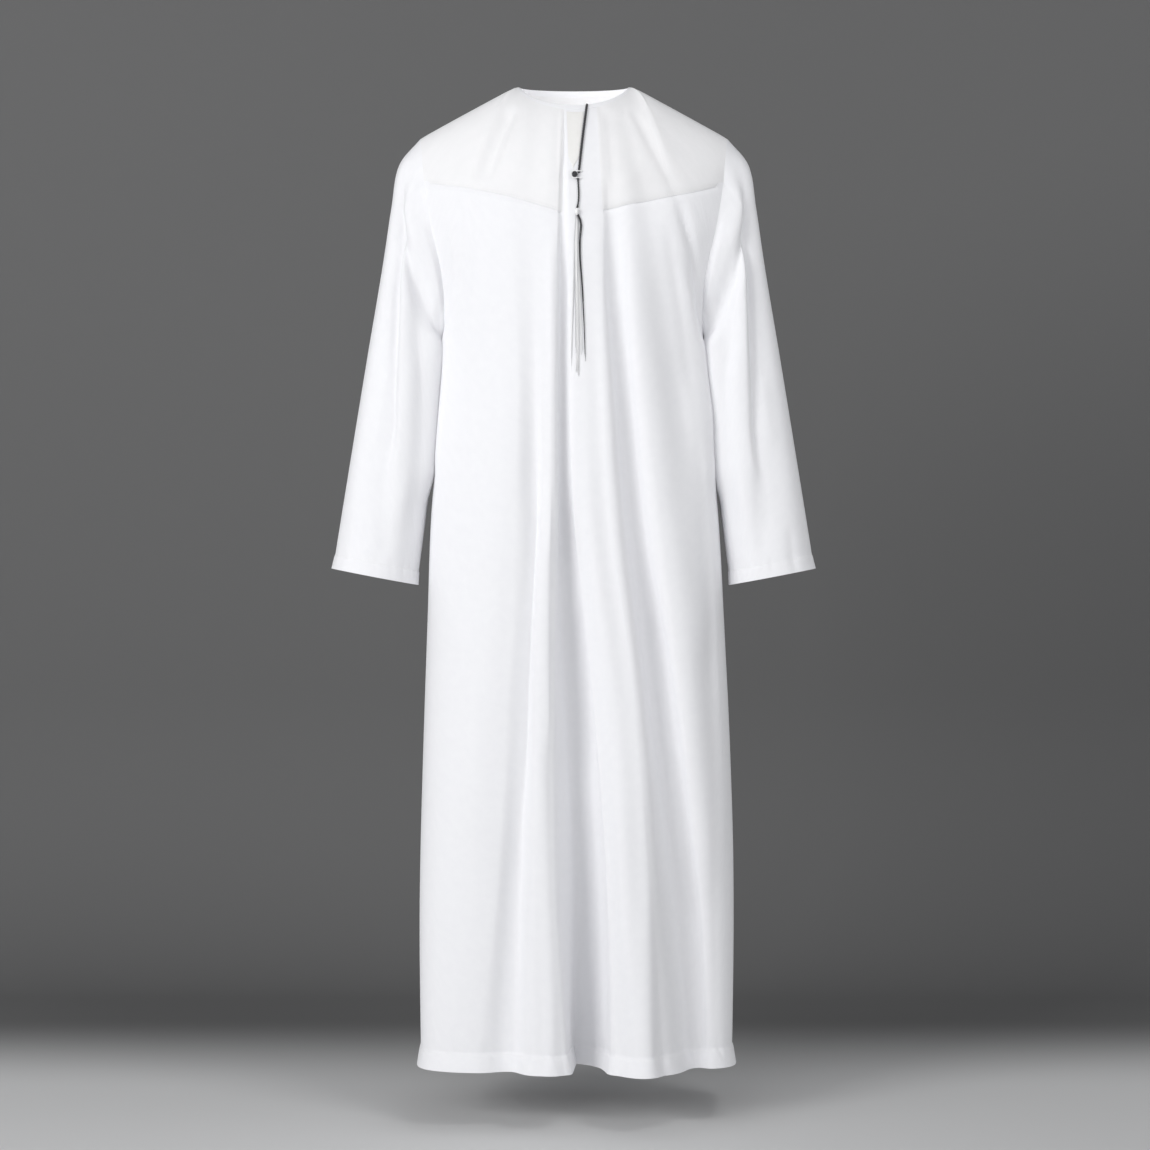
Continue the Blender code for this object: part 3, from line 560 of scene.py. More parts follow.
        lower = np.zeros(drops.shape + (3,))
        lower_stand = np.zeros(drops.shape)
        for column, (fold, share) in enumerate(places):
            drop = drops[:, column]
            half_width, front, back, squareness = self.body_section(drop)
            bounds = []
            for line in (fold - 1, fold):
                if 0 <= line < len(folds):
                    x = through(FOLD_DROPS, xs[line], drop)
                    stand = through(FOLD_DROPS, stands[line], drop)
                else:
                    x = (first_side if line < 0 else -first_side) * self.side_width(drop, panel)
                    stand = np.zeros_like(drop)
                reach = np.clip(x / half_width, -1, 1)
                height = (1 - np.abs(reach) ** squareness) ** (1 / squareness)
                bounds.append((np.arctan2(height, reach), stand))
            (angle_a, stand_a), (angle_b, stand_b) = bounds
            angle = angle_a + (angle_b - angle_a) * share
            wide, deep = np.cos(angle), np.sin(angle)
            reach = (np.abs(wide) ** squareness + np.abs(deep) ** squareness) ** (1 / squareness)
            depth = back if behind else -front
            lower[:, column] = np.stack([half_width * wide / reach, depth * deep / reach, -drop], axis=-1)
            lower_stand[:, column] = stand_a + (stand_b - stand_a) * eased(share)

        top = self.top_edge(panel)
        start = np.radians(self.neck_turn) * np.abs(top[:, 1]) / np.abs(top[:, 1]).max()
        collar = [0.0] + [fold.stands[0] * MM for fold in folds] + [0.0]
        collar_stand = np.array([collar[i] + (collar[i + 1] - collar[i]) * eased(w) for i, w in places])
        under_binding = np.linspace(0, self.binding_share, 4)[:-1]
        shares = np.concatenate([under_binding, np.linspace(self.binding_share, 1, self.yoke_rows - 2)])[:-1]
        upper, upper_stand = [], []
        for share in shares:
            turn = start + (np.pi / 2 - start) * share
            out = (np.sin(turn) - np.sin(start)) / (1 - np.sin(start))
            fall = (np.cos(start) - np.cos(turn)) / np.cos(start)
            upper.append(top + (lower[0] - top) * np.stack([np.full_like(out, share), out, fall], axis=-1))
            upper_stand.append(collar_stand * 4 * share * (1 - share) + lower_stand[0] * share**2)
        base = np.concatenate([np.array(upper), lower])
        stand = np.concatenate([np.array(upper_stand), lower_stand])
        points = base + grid_normals(base) * stand[..., None]
        sway_drops, sideways = zip(*self.sway)
        points[..., 0] += through(sway_drops, sideways, -points[..., 2])
        return Cloth(points, points[..., 0] / MM, -points[..., 2] / MM)

    def sleeve(self, seam: np.ndarray, side: Side) -> Cloth:
        """A sleeve from its armhole seam to the cuff, with its large folds.

        Args:
            seam: the armhole's points, down its front from the shoulder and up its back.
            side: left or right.

        Returns:
            The cloth, whose crease coordinates are degrees round the sleeve and millimetres down it.
        """
        sign = side.value
        folds = self.sleeve_folds
        alongs, *columns = zip(*self.sleeve_sections)
        count = len(seam)
        half = count // 2
        knots = [0, 0.5, 1.0]
        lines = np.linspace(0, len(folds) - 1, count)
        left = np.minimum(lines.astype(int), len(folds) - 2)
        share = lines - left
        grid, stands, angles = [], [], []
        first_oval = None
        zone = 1 - self.cuff_zone
        rows = zone * np.linspace(0, 1, self.sleeve_rows + 1) ** self.sleeve_crowding
        for along in np.append(rows, np.linspace(zone, 1, self.cuff_rows + 1)[1:]):
            outer_x, outer_drop, inner_x, inner_drop, half_depth, forward = (
                float(through(alongs, column, along)) for column in columns
            )
            outer = np.array([sign * outer_x + self.sleeve_sway, -forward, -outer_drop])
            inner = np.array([sign * inner_x + self.sleeve_sway, -forward, -inner_drop])
            turn = np.array([float(through(knots, fold.angles, along)) for fold in folds])
            stand = np.array([float(through(knots, fold.stands, along)) for fold in folds]) * MM
            by_fold = np.radians(turn[left] + (turn[left + 1] - turn[left]) * share)
            if first_oval is None:
                middle = (outer[2] + inner[2]) / 2
                rise = np.clip((seam[:, 2] - middle) / (outer[2] - middle), -1, 1)
                seam_angle = np.arccos(rise)
                seam_angle[half + 1 :] = 2 * np.pi - seam_angle[half + 1 :]
            angle = seam_angle + (by_fold - seam_angle) * float(eased(along / self.cap_turn))
            oval = (
                (outer + inner) / 2
                + np.cos(angle)[:, None] * (outer - inner) / 2
                + np.sin(angle)[:, None] * np.array([0, -half_depth, 0])
            )
            if first_oval is None:
                first_oval = oval
            grid.append(oval + (seam - first_oval) * float(1 - eased(along / self.cap_fade)))
            rise_in = float(eased(along / self.fold_rise))
            near_cuff = eased((along - (1 - self.cuff_fade)) / self.cuff_fade)
            fade_out = 1 - self.cuff_loss * float(near_cuff)
            between = stand[left] + (stand[left + 1] - stand[left]) * eased(share)
            stands.append(between * rise_in * fade_out)
            angles.append(np.degrees(angle))
        points, stand, angle = np.array(grid), np.array(stands), np.array(angles)
        if side is Side.RIGHT:
            points, stand, angle = points[:, ::-1], stand[:, ::-1], angle[:, ::-1]
        points = points + grid_normals(points) * stand[..., None]
        return Cloth(points, angle, -points[..., 2] / MM)


def linear(hex_colour: str) -> tuple[float, float, float, float]:
    """An sRGB hex colour as linear RGBA."""
    values = [int(hex_colour[i : i + 2], 16) / 255 for i in (1, 3, 5)]
    return (*(v / 12.92 if v <= 0.04045 else ((v + 0.055) / 1.055) ** 2.4 for v in values), 1.0)


def add_node(
    material: bpy.types.Material, kind: str, inputs: dict | None = None, **settings
) -> bpy.types.Node:
    """Adds a node with its settings and links.

    Args:
        material: the material whose tree takes the node.
        kind: the node's type, such as ShaderNodeBump.
        inputs: for each input's name or number, a value or the output socket that feeds it.
        settings: the node's own settings.

    Returns:
        The new node.
    """
    tree = material.node_tree
    node = tree.nodes.new(kind)
    for name, value in settings.items():
        setattr(node, name, value)
    for name, value in (inputs or {}).items():
        if isinstance(value, bpy.types.NodeSocket):
            tree.links.new(value, node.inputs[name])
        else:
            node.inputs[name].default_value = value
    return node


def blank_material(name: str) -> bpy.types.Material:
    """Makes a material with an empty node tree.

    Args:
        name: the material's name.

    Returns:
        The material.
    """
    material = bpy.data.materials.new(name)
    material.use_nodes = True
    material.node_tree.nodes.clear()
    return material


@dataclass(frozen=True)
class Poplin:
    """Bleached cotton poplin, plain-woven and pressed, which gives a matt face with a faint grain.

    Its fine fibres give it a soft bloom. Real poplin has a thread every 0.3 mm, far under a pixel, so its
    weave is drawn at thread_mm, its uneven yarns at slub_mm and the creases of wear at crumple_mm.
    """

    name: str
    light: str
    shade: str
    roughness: float = 0.82
    sheen: float = 0.06
    thread_mm: float = 1.1
    slub_mm: float = 14.0
    crumple_mm: float = 38.0

    def build(self) -> bpy.types.Material:
        """Makes the material. It reads the piece's own UV map, which is in metres along its threads."""
        m = blank_material(self.name)
        uv = add_node(m, "ShaderNodeTexCoord").outputs["UV"]
        turns = 2 * math.pi / (self.thread_mm * MM)
        threads = add_node(m, "ShaderNodeVectorMath", {0: uv, "Scale": turns}, operation="SCALE").outputs[0]
        split = add_node(m, "ShaderNodeSeparateXYZ", {0: threads})
        warp = add_node(m, "ShaderNodeMath", {0: split.outputs[0]}, operation="SINE").outputs[0]
        weft = add_node(m, "ShaderNodeMath", {0: split.outputs[1]}, operation="SINE").outputs[0]
        weave = add_node(m, "ShaderNodeMath", {0: warp, 1: weft}, operation="MULTIPLY").outputs[0]
        slub = add_node(
            m,
            "ShaderNodeTexNoise",
            {"Vector": uv, "Scale": 1 / (self.slub_mm * MM), "Detail": 4.0, "Roughness": 0.6},
        ).outputs["Fac"]
        crumple = add_node(
            m,
            "ShaderNodeTexNoise",
            {"Vector": uv, "Scale": 1 / (self.crumple_mm * MM), "Detail": 3.0, "Distortion": 0.6},
        ).outputs["Fac"]
        tint = add_node(
            m,
            "ShaderNodeMix",
            {0: slub, 6: linear(self.light), 7: linear(self.shade)},
            data_type="RGBA",
        ).outputs[2]
        soft = add_node(m, "ShaderNodeBump", {"Height": crumple, "Strength": 0.35, "Distance": 0.0016})
        fine = add_node(
            m,
            "ShaderNodeBump",
            {"Height": weave, "Strength": 0.22, "Distance": 0.00012, "Normal": soft.outputs[0]},
        )
        shader = add_node(
            m,
            "ShaderNodeBsdfPrincipled",
            {
                "Base Color": tint,
                "Roughness": self.roughness,
                "Sheen Weight": self.sheen,
                "Sheen Roughness": 0.5,
                "Specular IOR Level": 0.25,
                "Normal": fine.outputs[0],
            },
        )
        add_node(m, "ShaderNodeOutputMaterial", {"Surface": shader.outputs[0]})
        return m


@dataclass(frozen=True)
class Thread:
    """Spun cotton thread or cord: a soft sheen along it, and a twist too fine for its mesh."""

    name: str
    light: str
    shade: str
    roughness: float = 0.62
    sheen: float = 0.15
    fibre_mm: float = 0.9

    def build(self) -> bpy.types.Material:
        """Makes the material. It reads Object coordinates, so the fibres stay where they are."""
        m = blank_material(self.name)
        place = add_node(m, "ShaderNodeTexCoord").outputs["Object"]
        fibre = add_node(
            m,
            "ShaderNodeTexNoise",
            {"Vector": place, "Scale": 1 / (self.fibre_mm * MM), "Detail": 2.0},
        ).outputs["Fac"]
        tint = add_node(
            m,
            "ShaderNodeMix",
            {0: fibre, 6: linear(self.light), 7: linear(self.shade)},
            data_type="RGBA",
        ).outputs[2]
        bump = add_node(m, "ShaderNodeBump", {"Height": fibre, "Strength": 0.3, "Distance": 0.0001})
        shader = add_node(
            m,
            "ShaderNodeBsdfPrincipled",
            {
                "Base Color": tint,
                "Roughness": self.roughness,
                "Sheen Weight": self.sheen,
                "Normal": bump.outputs[0],
            },
        )
        add_node(m, "ShaderNodeOutputMaterial", {"Surface": shader.outputs[0]})
        return m


@dataclass(frozen=True)
class Backdrop:
    """A paper sweep, pale on the floor and turning to mid grey as it runs back, matt all over.

    Only its front shows, so that the robe can also be looked at from behind.
    """

    name: str
    floor: str
    wall: str
    pale_until: float
    grey_from: float

    def build(self) -> bpy.types.Material:
        """Makes the material."""
        m = blank_material(self.name)
        place = add_node(m, "ShaderNodeTexCoord").outputs["Object"]
        back = add_node(m, "ShaderNodeSeparateXYZ", {0: place}).outputs[1]
        share = add_node(
            m,
            "ShaderNodeMapRange",
            {0: back, 1: self.pale_until, 2: self.grey_from},
            interpolation_type="SMOOTHSTEP",
        ).outputs[0]
        tint = add_node(
            m,
            "ShaderNodeMix",
            {0: share, 6: linear(self.floor), 7: linear(self.wall)},
            data_type="RGBA",
        ).outputs[2]
        paper = add_node(m, "ShaderNodeBsdfPrincipled", {"Base Color": tint, "Roughness": 0.9})
        clear = add_node(m, "ShaderNodeBsdfTransparent")
        behind = add_node(m, "ShaderNodeNewGeometry").outputs["Backfacing"]
        shader = add_node(m, "ShaderNodeMixShader", {0: behind, 1: paper.outputs[0], 2: clear.outputs[0]})
        add_node(m, "ShaderNodeOutputMaterial", {"Surface": shader.outputs[0]})
        return m


@dataclass
class Finishes:
    """The robe's materials, each made once."""

    cloth: bpy.types.Material = field(
        default_factory=lambda: Poplin("bleached_poplin", "#F2F2F4", "#ECECEF").build()
    )
    yoke: bpy.types.Material = field(
        default_factory=lambda: Poplin("bleached_poplin_double", "#F1F0F1", "#EBEBEC", slub_mm=18.0).build()
    )
    # the placket's poplin, a little darker and warmer than the rest of the cloth
    placket: bpy.types.Material = field(
        default_factory=lambda: Poplin("ivory_poplin", "#EFEEEC", "#E9E8E5", slub_mm=10.0).build()
    )
    white_thread: bpy.types.Material = field(
        default_factory=lambda: Thread("white_cotton_thread", "#F8F8F8", "#EEEEEE").build()
    )
    # grey thread for the tassel, which paints the shade between its white threads
    painted_shade_thread: bpy.types.Material = field(
        default_factory=lambda: Thread("painted_shade_grey_thread", "#DADADC", "#CACACD").build()
    )
    # charcoal cord, which partly paints shadow: in the slit, in the button knot and beside the tassel
    dark_cord: bpy.types.Material = field(
        default_factory=lambda: Thread("charcoal_cord_and_painted_shadow", "#3A3A3D", "#262629").build()
    )


def mesh_object(
    name: str, verts: np.ndarray, faces: list, material: bpy.types.Material
) -> bpy.types.Object:
    """Makes a mesh object at the origin, linked to the scene and shaded smooth.

    Args:
        name: the object's name.
        verts: its points.
        faces: the numbers of each face's points.
        material: its finish.

    Returns:
        The object.
    """
    mesh = bpy.data.meshes.new(name)
    mesh.from_pydata(np.asarray(verts).tolist(), [], [list(map(int, face)) for face in faces])
    mesh.materials.append(material)
    made = bpy.data.objects.new(name, mesh)
    bpy.context.scene.collection.objects.link(made)
    mesh.shade_smooth()
    return made


def only(made: bpy.types.Object) -> None:
    """Selects one object alone and makes it active.

    Args:
        made: the object.
    """
    bpy.ops.object.select_all(action="DESELECT")
    made.select_set(True)
    bpy.context.view_layer.objects.active = made


def finish_piece(made: bpy.types.Object, node: str) -> bpy.types.Object:
    """Lets a piece stand for its CAD node and ride with the robe.

    Args:
        made: the piece.
        node: the CAD node that it stands for.

    Returns:
        The piece.
    """
    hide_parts(node)
    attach(made, "root")
    log.info("%s: %d faces for %s", made.name, len(made.data.polygons), node)
    return made


def turned_edge(above: np.ndarray, rise: float) -> np.ndarray:
    """The height of a turned and stitched hem, with its step 3 mm and its groove 1.5 mm wide.

    Args:
        above: how far each point lies above the hem's stitched edge, in millimetres.
        rise: how far the turned band stands out, in millimetres.

    Returns:
        The height in metres: a step at the stitched edge, with a groove that the stitches draw in.
    """
    step = rise * (1 - eased((above + 1.5) / 3.0))
    groove = 0.7 * bell(above + STITCH_INSET, 1.5)
    return (step - groove) * MM


def sheet_object(
    name: str, cloths: list[Cloth], material: bpy.types.Material, wall: float
) -> bpy.types.Object:
    """A sheet of cloth from one or more grids, welded where they meet, with a UV map in metres and a wall.

    Args:
        name: the piece's name.
        cloths: its grids, outer faces out.
        material: its finish.
        wall: its thickness in metres, inwards.

    Returns:
        The piece, with its wall applied.
    """
    verts, faces, flat = [], [], []
    start = 0
    for cloth in cloths:
        rows, columns = cloth.across.shape
        index = np.arange(rows * columns).reshape(rows, columns) + start
        corners = [index[:-1, :-1], index[1:, :-1], index[1:, 1:], index[:-1, 1:]]
        made_faces = np.stack([corner.ravel() for corner in corners], axis=-1)
        faces.append(made_faces if cloth.kept is None else made_faces[cloth.kept.ravel()])
        verts.append(cloth.points.reshape(-1, 3))
        flat.append(cloth.measured().reshape(-1, 2))
        start += rows * columns
    verts, faces, flat = np.concatenate(verts), np.concatenate(faces), np.concatenate(flat)
    made = mesh_object(name, verts, faces, material)
    layer = made.data.uv_layers.new(name="threads")
    layer.uv.foreach_set("vector", flat[faces.ravel()].astype(np.float32).ravel())
    work = bmesh.new()
    work.from_mesh(made.data)
    bmesh.ops.remove_doubles(work, verts=work.verts, dist=WELD)
    bmesh.ops.dissolve_degenerate(work, edges=work.edges, dist=WELD)
    loose = [vert for vert in work.verts if not vert.link_faces]
    bmesh.ops.delete(work, geom=loose, context="VERTS")
    work.to_mesh(made.data)
    work.free()
    only(made)
    shell = made.modifiers.new("wall", "SOLIDIFY")
    shell.thickness = wall
    shell.offset = -1.0
    shell.use_quality_normals = True
    bpy.ops.object.modifier_apply(modifier=shell.name)
    bpy.ops.object.shade_smooth_by_angle(angle=math.radians(40))
    return made


def tube_mesh(
    path: np.ndarray, radius: np.ndarray | float, sides: int, twist: float = 0.0, strands: int = 0
) -> tuple[np.ndarray, list]:
    """A round tube along a path, with closed ends.

    Args:
        path: the points of its middle.
        radius: its radius, one for all or one for each point.
        sides: points round it.
        twist: turns of its strands for each metre.
        strands: how many strands show as ridges, or 0 for a plain tube.

    Returns:
        Its points and its faces.
    """
    path = np.asarray(path, float)
    radius = np.broadcast_to(radius, len(path))
    ways = unit(np.gradient(path, axis=0))
    side_way = unit(np.cross(ways[0], [0.0, 1.0, 0.3]))
    far = path_lengths(path)
    around = np.linspace(0, 2 * np.pi, sides, endpoint=False)
    verts = []
    for place, way, r, along in zip(path, ways, radius, far):
        side_way = unit(side_way - way * np.dot(side_way, way))
        up = np.cross(way, side_way)
        bulge = 1 + (0.16 * np.cos(strands * around + 2 * np.pi * twist * along) if strands else 0)
        ring = np.cos(around)[:, None] * side_way + np.sin(around)[:, None] * up
        verts.append(place + ring * (r * bulge * np.ones(sides))[:, None])
    verts = np.concatenate(verts)
    faces = []
    for i in range(len(path) - 1):
        for j in range(sides):
            a, b = i * sides + j, i * sides + (j + 1) % sides
            faces.append((a, b, b + sides, a + sides))
    faces.append(tuple(range(sides - 1, -1, -1)))
    faces.append(tuple(range((len(path) - 1) * sides, len(path) * sides)))
    return verts, faces


def smooth_path(points: np.ndarray, count: int) -> np.ndarray:
    """A smooth path through points.

    Args:
        points: the points to pass through.
        count: how many evenly spaced places to return.

    Returns:
        The places.
    """
    points = np.asarray(points, float)
    far = path_lengths(points)
    at = np.linspace(0, far[-1], count)
    return np.stack([through(far, points[:, k], at) for k in range(3)], axis=-1)


def joined(parts: list) -> tuple[np.ndarray, list]:
    """Joins several meshes.

    Args:
        parts: the points and faces of each.

    Returns:
        The points and faces of all.
    """
    verts, faces, start = [], [], 0
    for points, polygons in parts:
        verts.append(points)
        faces.extend([tuple(i + start for i in polygon) for polygon in polygons])
        start += len(points)
    return np.concatenate(verts), faces


@dataclass
class Body:
    """The front, the back and the yoke."""

    form: RobeForm
    finishes: Finishes
    wall: float = 0.8 * MM
    yoke_wall: float = 1.0 * MM
    # the hem's band, how far it stands out and how far it flares, and the width of a pucker, in millimetres
    hem_band: float = 26.0
    hem_rise: float = 1.5
    hem_flare: float = 4.5
    pucker_width: float = 4.2
    hem_seeds: tuple[tuple[Panel, int], ...] = ((Panel.FRONT, 11), (Panel.BACK, 23))
    slit_share: float = 0.62
    slit_gap: float = 0.5 * MM
    # the yoke's lift off the panels, how far from its ends it is reached, and its rolled lower edge's depth,
    # width and fade, in millimetres
    yoke_lift: float = 0.6
    yoke_fade: float = 16.0
    edge_roll: float = 1.9
    edge_width: float = 2.8
    edge_fade: float = 8.0
    # the panels' lap under the yoke, in rows, how deep it lies, and the groove below the yoke's edge, in
    # millimetres, which fades out over these columns from the tongue and from the armholes
    lap_rows: int = 3
    first_tuck: float = 0.06
    tuck: float = 0.8
    yoke_dip: float = 2.3
    dip_width: float = 3.4
    dip_columns: tuple[int, int] = (4, 3)
    front: Cloth = field(init=False)
    back: Cloth = field(init=False)
    # how far the front is set back at the right of the hem, from this x and drop, and over this much of each,
    # in millimetres, and the depth from which it is set back in full
    recess: float = 20.0 * MM
    recess_from: tuple[float, float] = (92.0, 880.0)
    recess_over: tuple[float, float] = (90.0, 340.0)
    recess_depth: float = 0.12
    front_creases: tuple[Crease, ...] = (
        # from the neck to the armpits
        Crease(((-84, 34), (-96, 56), (-108, 86), (-120, 118), (-136, 160)), 9, -6.5),
        Crease(
            ((-172, 158), (-160, 178), (-151, 196), (-151, 244), (-158, 307), (-167, 360), (-176, 410)),
            5,
            -2.2,
        ),
        Crease(((-176, 210), (-172, 270), (-176, 340), (-184, 392)), 8, 2.4),
        Crease(((76, 32), (94, 64), (115, 108), (134, 146), (150, 186)), 8, -2.6),
        Crease(((92, 40), (110, 68), (131, 108), (150, 142)), 12, 1.0),
        Crease(((140, 160), (151, 187), (169, 252), (180, 334), (187, 404)), 6, -5.0),
        Crease(((150, 262), (163, 318), (175, 380), (186, 470), (192, 540)), 8, 3.6),
        Crease(((130, 200), (146, 300), (158, 380), (170, 470)), 10, -2.6),
        # beside the placket
        Crease(((-17, 36), (-17, 90), (-18, 146)), 6, 2.6),
        Crease(((36, 40), (41, 100), (47, 176)), 7, 2.0),
        Crease(((52, 40), (62, 90), (76, 150)), 20, -3.0),
        # the main fold, narrow at first, then wide down to the hem
        Crease(((-15, 190), (-14, 330), (-14, 470), (-13, 600), (-8, 760)), 7, -7.0),
        Crease(((-33, 200), (-33, 400), (-34, 560), (-38, 740)), 8, 4.6),
        Crease(((-8, 560), (4, 800), (15, 960), (24, 1120), (28, 1280), (30, 1800)), 19, -14.0),
        Crease(((-42, 560), (-48, 800), (-46, 980), (-40, 1160), (-34, 1300), (-30, 1800)), 15, 8.0),
        Crease(((-34, 560), (-38, 700), (-38, 850), (-35, 1000)), 9, 5.0),
        Crease(((-4, 640), (2, 780), (6, 900), (14, 1040)), 12, -5.0),
        Crease(((-68, 560), (-70, 760), (-72, 940), (-76, 1080)), 14, 3.5),
        # the trough that runs out to the right, and the ridge on its left
        Crease(((52, 150), (58, 320), (69, 450), (80, 570), (93, 680), (113, 800), (134, 920)), 13, -9.5),
        Crease(
            ((89, 660), (112, 800), (131, 920), (150, 1050), (164, 1180), (173, 1320), (180, 1800)), 18, -11.0
        ),
        Crease(
            ((38, 180), (42, 400), (50, 560), (63, 700), (80, 850), (93, 1000), (101, 1150), (104, 1800)),
            14,
            8.5,
        ),
        Crease(((62, 900), (70, 1090), (76, 1230), (78, 1800)), 22, 5.0),
        Crease(((134, 600), (160, 800), (174, 930), (186, 1060), (193, 1220)), 26, 6.0),
        Crease(((108, 360), (120, 480), (132, 600), (146, 740)), 22, 2.0),
        Crease(((158, 400), (170, 560), (180, 700), (188, 860)), 22, 4.5),
        Crease(((176, 500), (188, 620), (196, 760), (200, 900)), 12, -3.5),
        # soft swells of the left side
        Crease(((-96, 380), (-92, 520), (-106, 660), (-122, 820), (-140, 1000), (-148, 1180)), 24, 3.0),
        Crease(((-150, 330), (-156, 480), (-168, 640), (-176, 800)), 18, -2.4),
        Crease(((-84, 1060), (-92, 1180), (-102, 1320), (-108, 1500)), 22, -3.4),
        Crease(((-66, 960), (-68, 1120), (-66, 1300), (-64, 1500)), 13, 4.0),
        # the corners against the sleeves
        Crease(((-183, 330), (-188, 440), (-195, 590)), 12, 5.5),
        Crease(((182, 330), (188, 460), (197, 610)), 12, 6.0),
    )
    back_creases: tuple[Crease, ...] = (
        Crease(((96, 40), (116, 90), (140, 150)), 10, -1.8),
        Crease(((-92, 36), (-118, 96), (-138, 158)), 10, -1.6),
        Crease(((168, 196), (156, 250), (160, 330), (178, 400)), 9, -2.4),
        Crease(((-170, 200), (-160, 262), (-164, 336), (-180, 402)), 9, -2.2),
        Crease(((30, 300), (36, 460), (30, 600)), 12, -1.4),
        Crease(((-100, 420), (-108, 600), (-100, 780)), 14, 1.6),
        Crease(((130, 560), (140, 760), (134, 930)), 16, -1.8),
        Crease(((-10, 860), (-4, 1020), (-10, 1200)), 12, 1.8),
        Crease(((-150, 900), (-158, 1080), (-152, 1260)), 14, -1.8),
        Crease(((90, 1040), (98, 1180), (96, 1330)), 12, 1.6),
    )

    def __post_init__(self) -> None:
        """Works out both panels, creases and all."""
        sides = ("first", "last")
        self.front = self.receded(self.form.panel(Panel.FRONT)).creased(self.front_creases, sides)
        self.back = self.form.panel(Panel.BACK).creased(self.back_creases, sides)

    def receded(self, cloth: Cloth) -> Cloth:
        """The front with its right part set back towards the hem, where it turns to the side.

        Args:
            cloth: the front.

        Returns:
            The front, with its side edge left where it is.
        """
        points = cloth.points.copy()
        (x, drop), (over_x, over_drop) = self.recess_from, self.recess_over
        share = eased((cloth.across - x) / over_x) * eased((cloth.down - drop) / over_drop)
        points[..., 1] += self.recess * share * np.clip(-points[..., 1] / self.recess_depth, 0, 1)
        return Cloth(points, cloth.across, cloth.down)

    @property
    def yoke_row(self) -> int:
        """The row of the yoke's lower edge."""
        return self.form.yoke_rows

    def hemmed(self, cloth: Cloth, seed: int) -> Cloth:
        """The cloth with a turned hem: a step where it ends, and small puckers drawn in by its stitches.

        Args:
            cloth: a panel.
            seed: picks the puckers' places.

        Returns:
            The hemmed panel.
        """
        above = (self.form.length / MM - self.hem_band) - cloth.down
        height = turned_edge(above, self.hem_rise)
        height += self.hem_flare * MM * np.clip(-above / self.hem_band, 0, 1)
        measured = cloth.measured()[..., 0] / MM
        chance = np.random.default_rng(seed)
        place = measured.min()
        while place < measured.max():
            place += chance.uniform(7, 22)
            lean = chance.uniform(-0.35, 0.35)
            depth = chance.uniform(0.4, 1.7)
            reach = chance.uniform(8, 18)
            away = measured - place - lean * above
            height -= depth * MM * bell(away, self.pucker_width) * bell(above + 3, reach)
        return cloth.moved(height)

    def tucked(self, cloth: Cloth, tongue: tuple[int, int] | None) -> Cloth:
        """A panel with its upper edge tucked under the yoke, and only its own faces kept.

        Args:
            cloth: the panel.
            tongue: the first and last column of the tongue that runs on up to the neck, if it has one.

        Returns:
            The panel, which runs a lap of a few rows under the yoke.
        """
        row = np.arange(cloth.across.shape[0])[:, None]
        column = np.arange(cloth.across.shape[1])[None, :]
        first, last = tongue or (cloth.across.shape[1], -1)
        beside = np.maximum(first - column, column - last)
        inward = np.minimum(self.yoke_row - row, beside)
        lap = np.interp(inward, (-1, 0, 1, 2), (0, 0, -self.first_tuck, -self.tuck)) * MM
        below = cloth.down - cloth.down[self.yoke_row]
        from_armhole = np.minimum(column, cloth.across.shape[1] - 1 - column)
        by_tongue, by_armhole = self.dip_columns
        ends = eased(beside / by_tongue) * eased((from_armhole - 0.5) / by_armhole)
        dip = np.where(inward <= 0, self.yoke_dip * MM * bell(below, self.dip_width), 0.0) * ends
        tucked = cloth.moved(lap - dip)
        deepest = np.maximum(inward[:-1], inward[1:])
        tucked.kept = np.maximum(deepest[:, :-1], deepest[:, 1:]) <= self.lap_rows
        return tucked

    def build_front(self) -> bpy.types.Object:
        """The front panel and its tongue between the yoke's ends, parted by the slit."""
        form = self.form
        slit = form.fold_column("slit_line")
        tongue = (form.fold_column("main_fold"), form.fold_column("yoke_corner"))
        panel = self.tucked(self.hemmed(self.front, dict(self.hem_seeds)[Panel.FRONT]), tongue)
        panel = panel.seamed(("first", "last"), below=form.armpit_drop / MM)
        left = panel.cut(slice(None), slice(0, slit + 1))
        right = panel.cut(slice(None), slice(slit, None))
        open_rows = round(self.yoke_row * self.slit_share)
        for lip, inner in (
            (left.points[:, -1], left.points[:, -2]),
            (right.points[:, 0], right.points[:, 1]),
        ):
            lip[:open_rows] += unit(inner - lip)[:open_rows] * self.slit_gap
        made = sheet_object("front_cloth", [left, right], self.finishes.cloth, self.wall)
        return finish_piece(made, "front")

    def build_back(self) -> bpy.types.Object:
        """The back panel."""
        panel = self.tucked(self.hemmed(self.back, dict(self.hem_seeds)[Panel.BACK]), None)
        panel = panel.seamed(("first", "last"), below=self.form.armpit_drop / MM)
        made = sheet_object("back_cloth", [panel], self.finishes.cloth, self.wall)
        return finish_piece(made, "back")

    def yoke_parts(self) -> list[Cloth]:
        """The yoke's left front, right front and back."""
        form = self.form
        first = form.fold_column("main_fold")
        last = form.fold_column("yoke_corner")
        rows = slice(0, self.yoke_row + 1)
        parts = []
        for cloth, columns in (
            (self.front, slice(0, first + 1)),
            (self.front, slice(last, None)),
            (self.back, slice(None)),
        ):
            part = cloth.cut(rows, columns)
            far = part.edge_distances()
            inner = np.minimum(far["first"], far["last"]) / MM
            rise = eased(inner / self.yoke_fade)
            edge = self.edge_roll * bell(far["bottom"], self.edge_width * MM)
            edge = edge * eased(inner / self.edge_fade)
            parts.append(part.moved((self.yoke_lift * rise - edge) * MM))
        left, right, behind = parts
        shoulder = form.shoulder_columns
        for ours, theirs in (
            (left.points[0, : shoulder + 1], behind.points[0, -shoulder - 1 :][::-1]),
            (right.points[0, -shoulder - 1 :], behind.points[0, : shoulder + 1][::-1]),
        ):
            shared = (ours + theirs) / 2
            ours[:] = shared
            theirs[:] = shared
        return parts

